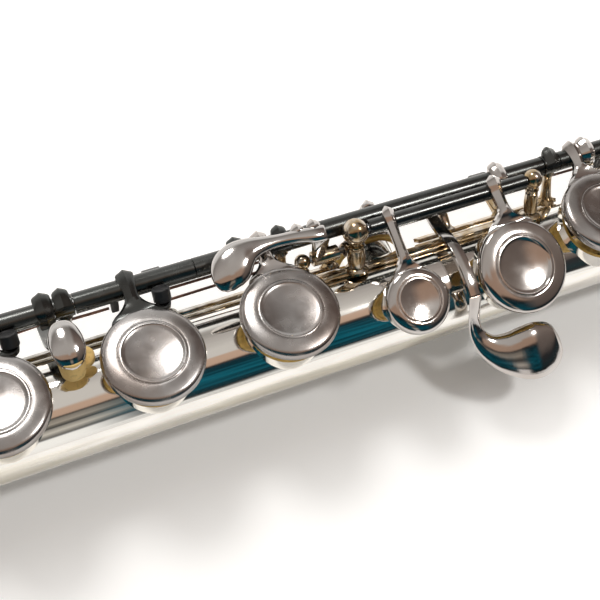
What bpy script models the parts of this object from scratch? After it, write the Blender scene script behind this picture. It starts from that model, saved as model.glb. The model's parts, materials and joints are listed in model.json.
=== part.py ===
"""Concert flute in three joints: head joint, body with its key work, and C foot joint.

The tube runs along X, head towards +X.  +Y is the player's side, where the hinge rods are,
-Y the far side and +Z is up, the way the key cups face.  Each shape is worked out round the
tube's axis (y = z = 0); the empty "flute_axis" then lifts it, so that the world's origin is the
middle of the flute's footprint on the table.
"""

import math

import bmesh
import bpy
from mathutils import Matrix, Vector

MM = 0.001

# Driving dimensions -------------------------------------------------------------------------
PIPE_LENGTH = 659.28 * MM        # acoustic length of the lowest note, C4
END_CORRECTION = 67.7 * MM       # part of it that lies beyond the centre of the mouth hole
MOUTH_X = 261.8 * MM             # centre of the mouth hole
TUBE_RADIUS = 9.9 * MM
TUBE_WALL = 0.4 * MM
GAP = 0.3 * MM                   # clearance between pieces that rest on each other
FRONT_REACH = 25.14 * MM         # furthest the G sharp touch stands out to the front
BACK_REACH = 21.2 * MM           # furthest the trill posts stand out to the player's side
BARREL_RING = 11.6 * MM          # radius of the barrel's end rings, on which the flute lies

# Hinge axes, as (y, z) from the tube's axis ----------------------------------------------------
MAIN_AXIS = (14.8 * MM, 12.2 * MM)
OFFSET_AXIS = (11.5 * MM, 15.7 * MM)     # offset G key
SIDE_AXIS = (10.5 * MM, 10.0 * MM)       # B flat side lever
TRILL_AXIS = (18.6 * MM, 2.4 * MM)
G_SHARP_AXIS = (16.1 * MM, 8.4 * MM)
THUMB_AXIS = (16.5 * MM, -9.0 * MM)
E_FLAT_AXIS = (-13.6 * MM, 9.4 * MM)
OPEN_MAIN = 9.9                          # degrees that the open keys stand up at rest
OPEN_OFFSET = 7.0
OPEN_THUMB = 7.0
OFFSET_TURN = 19.6                       # degrees that the G holes are turned to the front
BACK_TURN = 100.0                        # degrees from the top of the holes on the player's side

# Key work ---------------------------------------------------------------------------------------
HINGE_RADIUS = 1.95 * MM
HINGE_BORE = 1.25 * MM
ROD_RADIUS = 0.95 * MM
SLIM_HINGE = 1.55 * MM
SLIM_BORE = 1.2 * MM
SLIM_ROD = 0.9 * MM
FERRULE_RADIUS = 2.6 * MM
RIM_TOP = 11.1 * MM                      # height of a tone hole's rim over the tube's axis
PAD_FACE = RIM_TOP + GAP                 # height of a closed key's pad
CUP_TOP = 14.4 * MM                      # height of the ring round a closed cup's dish
CUP_RADIUS, CUP_DISH = 9.32 * MM, 5.82 * MM
TWIN_CUP, TWIN_DISH = 6.5 * MM, 4.18 * MM
SMALL_CUP, SMALL_DISH = 5.6 * MM, 3.2 * MM
G_SHARP_CUP, G_SHARP_DISH = 7.8 * MM, 4.6 * MM
THUMB_CUP, THUMB_DISH = 8.4 * MM, 5.2 * MM
CUP_WALL = 0.55 * MM
PAD_THICKNESS = 1.55 * MM
ARM_WIDTH, ARM_SPREAD = 3.4 * MM, 9.0 * MM   # of a full cup's arm, at the hinge and at the rim
PLATE = 1.2 * MM                         # thickness of arms and plates
BAR = 1.3 * MM                           # thickness of bent levers
RIB_MIDDLE = 62.5                        # degrees from the top of the straps that carry the posts
RIB_HALF = 7.0
RIB_THICKNESS = 0.9 * MM
OFFSET_RIB_MIDDLE, OFFSET_RIB_HALF = 38.6, 4.0
THUMB_RIB_MIDDLE, E_FLAT_RIB_MIDDLE, SHORT_RIB_HALF = 118.6, -62.0, 6.0


def note_x(semitones):
    """Place of the hole that sounds the note this many semitones over the lowest C."""
    return MOUTH_X - (PIPE_LENGTH * 2 ** (-semitones / 12) - END_CORRECTION)


FOOT_END = note_x(0)
LOW_C_SHARP_X = note_x(1)
LOW_D_X = note_x(2)
E_FLAT_X = note_x(3)
E_X, F_X, F_SHARP_X, G_X, G_SHARP_X, A_X, B_FLAT_X, B_X, C_X = (note_x(n) for n in range(4, 13))
C_SHARP_X = 29.8 * MM
TRILL_D_X = 44.8 * MM
TRILL_E_FLAT_X = 62.8 * MM
LARGE, SMALL = 8.0 * MM, 4.4 * MM        # outer radius of a chimney
CHIMNEY_WALL = 0.7 * MM
# Tone holes: name -> (x, degrees from the top towards the player, outer radius of the chimney)
BODY_HOLES = {
    "e": (E_X, 0, LARGE), "f": (F_X, 0, LARGE), "f_sharp": (F_SHARP_X, 0, LARGE),
    "g": (G_X, 0, LARGE), "g_sharp": (G_SHARP_X, BACK_TURN, 6.4 * MM),
    "g_sharp_twin": (G_SHARP_X, -OFFSET_TURN, 5.2 * MM), "a": (A_X, -OFFSET_TURN, LARGE),
    "b_flat": (B_FLAT_X, 0, LARGE), "b": (B_X, 0, LARGE), "c": (C_X, BACK_TURN, 7.2 * MM),
    "c_sharp": (C_SHARP_X, 0, SMALL), "trill_d": (TRILL_D_X, BACK_TURN, SMALL),
    "trill_e_flat": (TRILL_E_FLAT_X, BACK_TURN, SMALL),
}
FOOT_HOLES = {
    "e_flat": (E_FLAT_X, 0, LARGE), "low_d": (LOW_D_X, 0, LARGE),
    "low_c_sharp": (LOW_C_SHARP_X, 0, LARGE),
}

# Where the three joints of the flute meet -----------------------------------------------------
BODY_LOW_END = -215.2 * MM
BODY_TOP_END = 101.8 * MM
SOCKET_MOUTH = -204.9 * MM
BARREL = (83.8 * MM, 123.8 * MM)
HEAD_TENON_END = 103.8 * MM
HEAD_TOP_END = 313.8 * MM
CROWN_END = -FOOT_END
HEAD_RADIUS_AT_MOUTH = 8.9 * MM
SLIDING_FIT = 0.25 * MM          # between a tenon and its socket
SOCKET_RADIUS = 10.7 * MM
BEAD = 3 * MM                    # length of the raised rings at the ends of the tubes
STOPPER_RADIUS = 8.1 * MM
SCREW_RADIUS = 1.55 * MM
LIP_RADIUS, LIP_THICKNESS = 12.75 * MM, 1.0 * MM
MOUTH_HOLE = (6.1 * MM, 5.2 * MM)        # half sizes of the mouth hole, along and across

# Stretches of the main hinge line, low end first: posts and keys alternate
POST_LOW = -202.4 * MM
POST_MIDDLE = -148.6 * MM
POST_JOIN = -106.5 * MM
POST_LEFT = -46.0 * MM
POST_TOP = 39.2 * MM
D_E_MEET = -181.4 * MM
F_SHARP_MEET = -123.9 * MM
A_B_MEET = -30.8 * MM
B_C_MEET = -8.9 * MM
POST_WIDTH = 3.4 * MM
BESIDE_POST = POST_WIDTH / 2 + GAP / 2   # from a post's middle to the stretch of tube beside it

# Posts of the other lines
TRILL_POSTS = (-187.4 * MM, 69.3 * MM)
TRILL_GUIDES = (-130.0 * MM, -57.0 * MM, 24.0 * MM)
G_SHARP_POSTS = (-96.6 * MM, -69.9 * MM)
OFFSET_POSTS = (-92.7 * MM, -53.0 * MM)
SIDE_POST = -103.0 * MM
THUMB_POSTS = (10.8 * MM, 30.0 * MM)
FOOT_POSTS = (-303.0 * MM, -231.6 * MM)
ROLLER_SPAN = (-256.6 * MM, -245.0 * MM)
ROLLER_AXES = {"low_c_sharp": (-17.4 * MM, 9.6 * MM), "low_c": (-21.6 * MM, 9.6 * MM)}
E_FLAT_POSTS = (-238.2 * MM, -218.9 * MM)
END_REACH = 1.8 * MM             # from an end post's middle to the end of its strap

TUBE_SIDES = 20                  # sides of a large round shape, and of a small one
ROUND = 8
CUP_SIDES = 12


# Modelling helpers ------------------------------------------------------------------------------

def clear_scene():
    for obj in list(bpy.data.objects):
        bpy.data.objects.remove(obj, do_unlink=True)


def new_object(name, bm):
    mesh = bpy.data.meshes.new(name)
    bm.to_mesh(mesh)
    bm.free()
    obj = bpy.data.objects.new(name, mesh)
    parts.objects.link(obj)
    return obj


def evaluated_mesh(obj):
    bpy.context.view_layer.update()
    graph = bpy.context.evaluated_depsgraph_get()
    return bpy.data.meshes.new_from_object(obj.evaluated_get(graph))


def keep_evaluated(obj):
    """Turns an object with modifiers, or a curve, into a plain closed mesh facing out."""
    mesh = evaluated_mesh(obj)
    bm = bmesh.new()
    bm.from_mesh(mesh)
    bpy.data.meshes.remove(mesh)
    bmesh.ops.remove_doubles(bm, verts=bm.verts, dist=1e-6)
    bmesh.ops.recalc_face_normals(bm, faces=bm.faces)
    bm.transform(obj.matrix_world)
    name = obj.name
    bpy.data.objects.remove(obj, do_unlink=True)
    return new_object(name, bm)


def moved(obj, matrix):
    obj.data.transform(matrix)
    return obj


def turn_about_tube(obj, degrees):
    """Turns a shape round the tube, from the top towards the player's side."""
    return moved(obj, Matrix.Rotation(math.radians(-degrees), 4, "X"))


def boolean(target, other, operation):
    modifier = target.modifiers.new(operation, "BOOLEAN")
    modifier.operation = operation
    modifier.object = other
    mesh = evaluated_mesh(target)
    target.modifiers.clear()
    target.data = mesh
    bpy.data.objects.remove(other, do_unlink=True)
    return target


def union(first, *others):
    for other in others:
        boolean(first, other, "UNION")
    return first


def difference(first, *cutters):
    for cutter in cutters:
        boolean(first, cutter, "DIFFERENCE")
    return first


def cylinder(radius, low, high, centre=(0, 0), segments=ROUND, radius_high=None):
    """Solid round bar along X from x = low to x = high, its axis at centre = (y, z)."""
    bm = bmesh.new()
    bmesh.ops.create_cone(
        bm, cap_ends=True, segments=segments, depth=high - low, radius1=radius,
        radius2=radius if radius_high is None else radius_high,
    )
    bm.transform(Matrix.Rotation(math.pi / 2, 4, "Y"))
    bm.transform(Matrix.Translation(((low + high) / 2, *centre)))
    return new_object("cylinder", bm)


def column(radius, foot, head, segments=ROUND, radius_head=None):
    """Solid round column between two points, foot and head."""
    foot, head = Vector(foot), Vector(head)
    bm = bmesh.new()
    bmesh.ops.create_cone(
        bm, cap_ends=True, segments=segments, depth=(head - foot).length, radius1=radius,
        radius2=radius if radius_head is None else radius_head,
    )
    turn = (head - foot).to_track_quat("Z", "X").to_matrix().to_4x4()
    bm.transform(Matrix.Translation((foot + head) / 2) @ turn)
    return new_object("column", bm)


def ball(radius, centre, scale=(1, 1, 1), segments=10):
    bm = bmesh.new()
    bmesh.ops.create_uvsphere(bm, u_segments=segments, v_segments=segments * 2 // 3, radius=radius)
    bm.transform(Matrix.Translation(centre) @ Matrix.Diagonal((*scale, 1)))
    return new_object("ball", bm)


def turned(profile, steps, closed=False):
    """Shape turned round Z from (radius, height) points that run down its outer side."""
    bm = bmesh.new()
    verts = [bm.verts.new((radius, 0, height)) for radius, height in profile]
    for first, second in zip(verts, verts[1:] + (verts[:1] if closed else [])):
        bm.edges.new((first, second))
    obj = new_object("turned", bm)
    screw = obj.modifiers.new("turn", "SCREW")
    screw.axis = "Z"
    screw.steps = screw.render_steps = steps
    screw.use_merge_vertices = True
    screw.merge_threshold = 1e-6
    return keep_evaluated(obj)


def turned_along_x(profile, closed=True):
    """Shape turned round the tube's axis from (radius, x) points."""
    return moved(turned(profile, TUBE_SIDES, closed), Matrix.Rotation(math.pi / 2, 4, "Y"))


def sleeve(outer, inner, low, high, centre=(0, 0), segments=ROUND):
    """Tube along X."""
    tube = turned([(outer, high), (outer, low), (inner, low), (inner, high)], segments, True)
    tube.data.transform(Matrix.Rotation(math.pi / 2, 4, "Y"))
    return moved(tube, Matrix.Translation((0, *centre)))


def slab(outline, thickness):
    """Flat piece in the XY plane, centred on z = 0, from a closed outline of (x, y) points."""
    curve = bpy.data.curves.new("slab", "CURVE")
    curve.dimensions = "2D"
    curve.fill_mode = "BOTH"
    curve.extrude = thickness / 2
    spline = curve.splines.new("POLY")
    spline.points.add(len(outline) - 1)
    for point, (x, y) in zip(spline.points, outline):
        point.co = (x, y, 0, 1)
    spline.use_cyclic_u = True
    obj = bpy.data.objects.new("slab", curve)
    parts.objects.link(obj)
    return keep_evaluated(obj)


def teardrop(big, big_radius, small, small_radius):
    """Outline round two circles and the straight sides that touch them both."""
    big, small = Vector(big), Vector(small)
    along = small - big
    heading = math.atan2(along.y, along.x)
    lean = math.acos((big_radius - small_radius) / along.length)
    points, steps = [], 6
    for centre, radius, start, sweep in (
        (big, big_radius, heading + lean, 2 * math.pi - 2 * lean),
        (small, small_radius, heading - lean, 2 * lean),
    ):
        for i in range(steps + 1):
            angle = start + sweep * i / steps
            points.append(centre + radius * Vector((math.cos(angle), math.sin(angle))))
    return points


def smooth_path(points):
    """Points along a smooth curve through the given ones."""
    steps = 3
    knots = [Vector(p) for p in points]
    ends = [2 * knots[0] - knots[1]] + knots + [2 * knots[-1] - knots[-2]]
    path = []
    for a, b, c, d in zip(ends, ends[1:], ends[2:], ends[3:]):
        for i in range(steps):
            t = i / steps
            path.append(0.5 * (2 * b + (c - a) * t + (2 * a - 5 * b + 4 * c - d) * t ** 2
                               + (3 * b - a - 3 * c + d) * t ** 3))
    return path + [knots[-1]]


def bent_bar(path, thickness, width, x):
    """Flat bar of this width along X, whose side view follows a path of (y, z) points."""
    line = smooth_path(path)
    left, right = [], []
    for i, point in enumerate(line):
        along = (line[min(i + 1, len(line) - 1)] - line[max(i - 1, 0)]).normalized()
        across = Vector((-along.y, along.x)) * thickness / 2
        left.append(point + across)
        right.append(point - across)
    bar = slab(left + right[::-1], width)
    # The slab's x, y and z become the flute's y, z and x.
    turn = Matrix(((0, 0, 1, x), (1, 0, 0, 0), (0, 1, 0, 0), (0, 0, 0, 1)))
    return moved(bar, turn)


# Finish of a node ---------------------------------------------------------------------------------

COLOURS = {
    "silver_plate": ((0.86, 0.84, 0.80), 0.16, 1.0),
    "key_silver": ((0.78, 0.76, 0.74), 0.22, 1.0),
    "steel": ((0.42, 0.42, 0.43), 0.25, 1.0),
    "pad_skin": ((0.80, 0.62, 0.28), 0.55, 0.0),
    "cork": ((0.66, 0.45, 0.24), 0.85, 0.0),
}


def material(name):
    found = bpy.data.materials.get(name)
    if found:
        return found
    colour, roughness, metallic = COLOURS[name]
    made = bpy.data.materials.new(name)
    made.use_nodes = True
    shader = made.node_tree.nodes["Principled BSDF"]
    shader.inputs["Base Color"].default_value = (*colour, 1)
    shader.inputs["Roughness"].default_value = roughness
    shader.inputs["Metallic"].default_value = metallic
    made.diffuse_color = (*colour, 1)
    return made


def clean(obj):
    """Merges the slivers that cuts leave behind."""
    bm = bmesh.new()
    bm.from_mesh(obj.data)
    bmesh.ops.remove_doubles(bm, verts=bm.verts, dist=0.005 * MM)
    bmesh.ops.dissolve_degenerate(bm, edges=bm.edges, dist=0.002 * MM)
    bmesh.ops.dissolve_limit(bm, verts=bm.verts, edges=bm.edges, angle_limit=math.radians(0.5))
    bmesh.ops.triangulate(bm, faces=bm.faces)
    bm.to_mesh(obj.data)
    bm.free()


def node(name, obj, finish, axis=(0, 0), open_degrees=0):
    """Names a finished shape, puts its origin on its hinge axis and opens it by its rest angle."""
    clean(obj)
    obj.name = name
    obj.data.name = name
    obj.data.materials.clear()
    obj.data.materials.append(material(finish))
    obj.data.transform(Matrix.Translation((0, -axis[0], -axis[1])))
    obj.parent = flute_axis
    obj.location = (0, *axis)
    obj.rotation_euler = (math.radians(-open_degrees), 0, 0)
    obj.data.shade_smooth()
    obj.data.set_sharp_from_angle(angle=math.radians(35))
    return obj


# Tubes -------------------------------------------------------------------------------------------

def chimney(x, degrees, radius, low=0.0, high=RIM_TOP):
    wall = column(radius, (x, 0, low), (x, 0, high), segments=CUP_SIDES)
    return turn_about_tube(wall, degrees)


def bored_tube(low, high, holes):
    """Tube with a short chimney drawn up round each tone hole."""
    tube = cylinder(TUBE_RADIUS, low, high, segments=TUBE_SIDES)
    start = 4 * MM
    for x, degrees, radius in holes.values():
        union(tube, chimney(x, degrees, radius, start))
    difference(tube, cylinder(TUBE_RADIUS - TUBE_WALL, low - MM, high + MM, segments=TUBE_SIDES))
    for x, degrees, radius in holes.values():
        difference(tube, chimney(x, degrees, radius - CHIMNEY_WALL, start, RIM_TOP + MM))
    return tube


def build_body_tube():
    node("body_tube", bored_tube(BODY_LOW_END, BODY_TOP_END, BODY_HOLES), "silver_plate")
    low, high = BARREL
    inner, outer, ring = TUBE_RADIUS + SLIDING_FIT, 11.0 * MM, BARREL_RING
    slope = 0.4 * MM
    profile = [(inner, high), (ring, high), (ring, high - BEAD), (outer, high - BEAD - slope),
               (outer, low + BEAD + slope), (ring, low + BEAD), (ring, low), (inner, low)]
    node("barrel", turned_along_x(profile), "silver_plate")


def build_foot_tube():
    tube = bored_tube(FOOT_END, BODY_LOW_END - GAP, FOOT_HOLES)
    inner, ring = TUBE_RADIUS + SLIDING_FIT, SOCKET_RADIUS + 0.5 * MM
    within = TUBE_RADIUS - TUBE_WALL / 2
    seat, step = BODY_LOW_END - GAP, BODY_LOW_END - 1.6 * MM
    socket = turned_along_x([(inner, SOCKET_MOUTH), (ring, SOCKET_MOUTH), (ring, SOCKET_MOUTH - 2 * MM),
                             (SOCKET_RADIUS, SOCKET_MOUTH - 2.3 * MM), (SOCKET_RADIUS, step),
                             (within, step), (within, seat), (inner, seat)])
    ring = 10.5 * MM
    end_ring = turned_along_x([(ring, FOOT_END + BEAD), (ring, FOOT_END), (within, FOOT_END),
                               (within, FOOT_END + BEAD)])
    node("foot_tube", union(tube, socket, end_ring), "silver_plate")


# Posts and the straps that carry them ----------------------------------------------------------

def on_tube(degrees, radius):
    """(y, z) at this angle from the top, towards the player, and distance from the axis."""
    return radius * math.sin(math.radians(degrees)), radius * math.cos(math.radians(degrees))


def strap(low, high, degrees=RIB_MIDDLE, half=RIB_HALF):
    """Curved strap laid along the tube."""
    inner, outer, steps = TUBE_RADIUS + GAP, TUBE_RADIUS + GAP + RIB_THICKNESS, 4
    angles = [degrees - half + 2 * half * i / steps for i in range(steps + 1)]
    outline = [on_tube(a, outer) for a in angles] + [on_tube(a, inner) for a in angles[::-1]]
    plate = slab(outline, high - low)
    turn = Matrix(((0, 0, 1, (low + high) / 2), (1, 0, 0, 0), (0, 1, 0, 0), (0, 0, 0, 1)))
    return moved(plate, turn)


def post(x, axis, head_radius, bore, degrees):
    """Pillar from a strap up to a round head, bored for the hinge rod."""
    width, thick, thin = POST_WIDTH, 1.44 * MM, 1.15 * MM
    foot = Vector((x, *on_tube(degrees, TUBE_RADIUS + 2 * GAP)))
    pillar = column(thick, foot, (x, *axis), radius_head=thin)
    difference(pillar, cylinder(TUBE_RADIUS + GAP + 0.2 * MM, x - 2 * width, x + 2 * width,
                                segments=TUBE_SIDES))
    head = cylinder(head_radius, x - width / 2, x + width / 2, axis)
    return union(pillar, head), cylinder(bore, x - 2 * width, x + 2 * width, axis)


def strap_with_posts(name, low, high, posts, degrees=RIB_MIDDLE, half=RIB_HALF):
    """A strap and the posts soldered to it. Each post is (x, axis, head radius, bore)."""
    made = strap(low, high, degrees, half)
    bores = []
    for x, axis, head_radius, bore in posts:
        standing, hole = post(x, axis, head_radius, bore, degrees)
        union(made, standing)
        bores.append(hole)
    node(name, difference(made, *bores), "silver_plate")


def ball_post(x, axis, radius, foot_radius=1.8 * MM):
    """Turned post with a ball head, on the strap of the offset keys."""
    degrees = math.degrees(math.atan2(*axis))
    reach = math.hypot(*axis)
    foot = TUBE_RADIUS + GAP
    neck = reach - radius
    profile = [(0, reach), (0.9 * MM, reach - 0.2 * MM), (0.9 * MM, neck), (1.5 * MM, neck - 0.5 * MM),
               (1.0 * MM, neck - MM), (1.1 * MM, foot + 1.4 * MM),
               (foot_radius, foot + MM), (foot_radius, foot + 0.5 * MM), (0, foot + 0.5 * MM)]
    pillar = moved(turned(profile, ROUND), Matrix.Translation((x, 0, 0)))
    return turn_about_tube(union(pillar, ball(radius, (x, 0, reach))), degrees)


def build_posts():
    main = (FERRULE_RADIUS, HINGE_BORE)
    trill_end = (2.0 * MM, SLIM_BORE)
    trill_guide = (2.6 * MM, SLIM_HINGE + GAP)
    g_sharp = (1.8 * MM, SLIM_BORE)
    strap_with_posts("right_hand_rib", POST_LOW - 1.9 * MM, G_SHARP_POSTS[0] + 1.8 * MM, [
        (POST_LOW, MAIN_AXIS, *main), (POST_MIDDLE, MAIN_AXIS, *main),
        (POST_JOIN, MAIN_AXIS, *main), (TRILL_POSTS[0], TRILL_AXIS, *trill_end),
        (TRILL_GUIDES[0], TRILL_AXIS, *trill_guide), (G_SHARP_POSTS[0], G_SHARP_AXIS, *g_sharp)])
    strap_with_posts("left_hand_rib", -77.0 * MM, POST_LEFT + 2.0 * MM, [
        (G_SHARP_POSTS[1], G_SHARP_AXIS, *g_sharp), (TRILL_GUIDES[1], TRILL_AXIS, *trill_guide),
        (POST_LEFT, MAIN_AXIS, *main)])
    strap_with_posts("top_rib", 9 * MM, TRILL_POSTS[1] + 2.0 * MM, [
        (POST_TOP, MAIN_AXIS, *main), (TRILL_GUIDES[2], TRILL_AXIS, *trill_guide),
        (TRILL_POSTS[1], TRILL_AXIS, *trill_end)])
    strap_with_posts("thumb_rib", THUMB_POSTS[0] - END_REACH, THUMB_POSTS[1] + END_REACH, [
        (x, THUMB_AXIS, 1.9 * MM, SLIM_BORE) for x in THUMB_POSTS], THUMB_RIB_MIDDLE, SHORT_RIB_HALF)
    strap_with_posts("foot_rib", FOOT_POSTS[0] - 2.0 * MM, FOOT_POSTS[1] + 2.0 * MM, [
        (x, MAIN_AXIS, FERRULE_RADIUS, SLIM_BORE) for x in FOOT_POSTS])
    strap_with_posts("e_flat_rib", E_FLAT_POSTS[0] - END_REACH, E_FLAT_POSTS[1] + END_REACH, [
        (x, E_FLAT_AXIS, 2.1 * MM, SLIM_BORE) for x in E_FLAT_POSTS], E_FLAT_RIB_MIDDLE, SHORT_RIB_HALF)
    low_ball, high_ball = OFFSET_POSTS
    made = union(strap(SIDE_POST - END_REACH, high_ball + END_REACH, OFFSET_RIB_MIDDLE, OFFSET_RIB_HALF),
                 ball_post(SIDE_POST, SIDE_AXIS, 1.6 * MM, 1.15 * MM),
                 ball_post(low_ball, OFFSET_AXIS, 2.5 * MM), ball_post(high_ball, OFFSET_AXIS, 2.0 * MM),
                 column(1.0 * MM, (low_ball, *on_tube(36.2, 14.2 * MM)), (low_ball, *SIDE_AXIS)),
                 cylinder(1.4 * MM, low_ball - 1.6 * MM, low_ball + 0.8 * MM, SIDE_AXIS))
    difference(made, cylinder(HINGE_BORE, low_ball - 4 * MM, high_ball + 4 * MM, OFFSET_AXIS),
               cylinder(0.9 * MM, SIDE_POST - 4 * MM, low_ball, SIDE_AXIS))
    node("offset_rib", made, "silver_plate")


def build_rods():
    """Steel hinge rods, one for each line of keys that needs one."""
    end = POST_WIDTH / 2 + 0.5 * MM
    for name, low, high, axis, radius in (
        ("right_hand_rod", POST_LOW - end, POST_JOIN - 0.2 * MM, MAIN_AXIS, ROD_RADIUS),
        ("left_hand_rod", POST_JOIN + 0.2 * MM, POST_TOP + end, MAIN_AXIS, ROD_RADIUS),
        ("offset_rod", OFFSET_POSTS[0] - 1.4 * MM, OFFSET_POSTS[1] + 1.4 * MM, OFFSET_AXIS, ROD_RADIUS),
        ("side_lever_rod", SIDE_POST - 0.9 * MM, OFFSET_POSTS[0] - 1.3 * MM, SIDE_AXIS, 0.6 * MM),
        ("g_sharp_rod", G_SHARP_POSTS[0] - end, G_SHARP_POSTS[1] + end, G_SHARP_AXIS, SLIM_ROD),
        ("thumb_rod", THUMB_POSTS[0] - end, THUMB_POSTS[1] + end, THUMB_AXIS, SLIM_ROD),
        ("e_flat_rod", E_FLAT_POSTS[0] - end, E_FLAT_POSTS[1] + end, E_FLAT_AXIS, SLIM_ROD),
    ):
        node(name, cylinder(radius, low, high, axis), "steel")


# Keys ----------------------------------------------------------------------------------------------

def cup(x, radius=CUP_RADIUS, dish=CUP_DISH, degrees=0.0):
    """Closed key cup with its dished top, open below for the pad."""
    lip, bed = PAD_FACE + 0.35 * MM, PAD_FACE + PAD_THICKNESS + GAP
    profile = [(0, CUP_TOP - 0.55 * MM), (dish - 0.3 * MM, CUP_TOP), (dish + 0.3 * MM, CUP_TOP - 0.1 * MM),
               (radius - 0.7 * MM, CUP_TOP - 0.35 * MM), (radius, CUP_TOP - 1.0 * MM),
               (radius, lip), (radius - CUP_WALL, lip), (radius - CUP_WALL, bed), (0, bed)]
    made = moved(turned(profile, CUP_SIDES), Matrix.Translation((x, 0, 0)))
    return turn_about_tube(made, degrees)


def build_pad(name, x, axis, open_degrees, radius=CUP_RADIUS, degrees=0.0):
    disc = column(radius - CUP_WALL - GAP, (x, 0, PAD_FACE), (x, 0, PAD_FACE + PAD_THICKNESS),
                  segments=CUP_SIDES)
    node(name, turn_about_tube(disc, degrees), "pad_skin", axis, open_degrees)


def cup_arm(x, axis, radius=CUP_RADIUS, degrees=0.0, width=ARM_WIDTH, spread=ARM_SPREAD):
    """Arm from a pointed tip behind the hinge tube to a cup, spreading out to meet the rim."""
    turn = math.radians(degrees)
    hinge = Vector((axis[0] * math.cos(turn) - axis[1] * math.sin(turn),
                    axis[0] * math.sin(turn) + axis[1] * math.cos(turn)))
    side = math.copysign(1, hinge.x)
    start = hinge + Vector((side * 2.0 * MM, 1.5 * MM))
    finish = Vector((side * (radius - 1.9 * MM), CUP_TOP - 0.4 * MM))
    length = (finish - start).length
    tip, steps = 1.6 * MM, 5
    sides = [(0.3 * MM, 0.0)]
    for i in range(steps + 1):
        flare = (spread - width) * (i / steps) ** 3
        sides.append(((width + flare) / 2, tip + (length - tip) * i / steps))
    outline = [(-w, s) for w, s in sides] + [(w, s) for w, s in sides[::-1]]
    plate = slab(outline, PLATE)
    heading = finish - start
    along = Vector((0, heading.x, heading.y)) / length
    across = Vector((1, 0, 0))
    up = across.cross(along)
    frame = Matrix((across, along, up)).transposed().to_4x4()
    moved(plate, Matrix.Translation((x, start.x, start.y)) @ frame)
    return turn_about_tube(plate, degrees)


def hinge_tube(low, high, axis, radius=HINGE_RADIUS):
    """Solid hinge tube, with half a gap at each end; it is bored at the end."""
    return cylinder(radius, low + GAP / 2, high - GAP / 2, axis)


def bore_of(low, high, axis, bore=HINGE_BORE):
    return cylinder(bore, low - MM, high + MM, axis)


def stack_key(name, x, low, high):
    """Plain key of the main line: hinge tube, one arm and one cup, with its pad."""
    made = union(hinge_tube(low, high, MAIN_AXIS), cup_arm(x, MAIN_AXIS), cup(x))
    difference(made, bore_of(low, high, MAIN_AXIS))
    node(name + "_key", made, "key_silver", MAIN_AXIS, OPEN_MAIN)
    build_pad(name + "_pad", x, MAIN_AXIS, OPEN_MAIN)


def build_right_hand_keys():
    stack_key("d", E_X, POST_LOW + BESIDE_POST, D_E_MEET)
    stack_key("e", F_X, D_E_MEET, POST_MIDDLE - BESIDE_POST)
    stack_key("f", F_SHARP_X, POST_MIDDLE + BESIDE_POST, F_SHARP_MEET)
    stack_key("f_sharp", G_X, F_SHARP_MEET, POST_JOIN - BESIDE_POST)


def build_left_hand_keys():
    stack_key("a", B_FLAT_X, POST_LEFT + BESIDE_POST, A_B_MEET)
    stack_key("b_flat", B_X, A_B_MEET, B_C_MEET)
    low, high = POST_JOIN + BESIDE_POST, POST_LEFT - BESIDE_POST
    link = difference(hinge_tube(low, high, MAIN_AXIS), bore_of(low, high, MAIN_AXIS))
    node("b_flat_link", link, "key_silver", MAIN_AXIS, OPEN_MAIN)
    low, high = B_C_MEET, POST_TOP - BESIDE_POST
    made = hinge_tube(low, high, MAIN_AXIS)
    touch = slab(teardrop((-3 * MM, 0.6 * MM), 5.2 * MM, (-3 * MM, 8 * MM), 2.4 * MM), 1.4 * MM)
    moved(touch, Matrix.Translation((0, 0, 14.6 * MM)))
    arm = bent_bar([(14.8 * MM, 13.4 * MM), (10.5 * MM, 14.8 * MM), (7 * MM, 14.6 * MM)],
                   BAR, 3.0 * MM, -3 * MM)
    union(made, arm, touch, cup_arm(C_SHARP_X, MAIN_AXIS, SMALL_CUP, spread=5.5 * MM),
          cup(C_SHARP_X, SMALL_CUP, SMALL_DISH))
    difference(made, bore_of(low, high, MAIN_AXIS))
    node("c_key", made, "key_silver", MAIN_AXIS, OPEN_MAIN)
    build_pad("c_sharp_pad", C_SHARP_X, MAIN_AXIS, OPEN_MAIN, SMALL_CUP)


def build_b_flat_lever():
    """B flat side lever, on a short hinge of its own in front of the main line."""
    low, high = SIDE_POST + 1.8 * MM, OFFSET_POSTS[0] - 2.6 * MM
    saddle = bent_bar([SIDE_AXIS, (10.9 * MM, 13.4 * MM), (12.3 * MM, 16.8 * MM)],
                      BAR, 3.4 * MM, -98.9 * MM)
    bar = slab([(-97.2 * MM, 11.4 * MM), (-97.2 * MM, 13.4 * MM), (-103.8 * MM, 14.4 * MM),
                (-110.0 * MM, 14.1 * MM), (-117.0 * MM, 13.0 * MM), (-117.0 * MM, 10.6 * MM),
                (-110.0 * MM, 11.9 * MM), (-103.8 * MM, 12.0 * MM)], PLATE)
    moved(bar, Matrix.Translation((0, 0, 17.0 * MM)))
    touch = slab(teardrop((-118.2 * MM, 10.8 * MM), 3.8 * MM, (-113.4 * MM, 12.6 * MM), 1.5 * MM),
                 1.5 * MM)
    moved(touch, Matrix.Translation((0, 0, 17.1 * MM)))
    made = union(hinge_tube(low, high, SIDE_AXIS, 1.5 * MM), saddle, bar, touch)
    difference(made, bore_of(low, high, SIDE_AXIS, 0.9 * MM))
    node("b_flat_lever", made, "key_silver", SIDE_AXIS)


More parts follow.
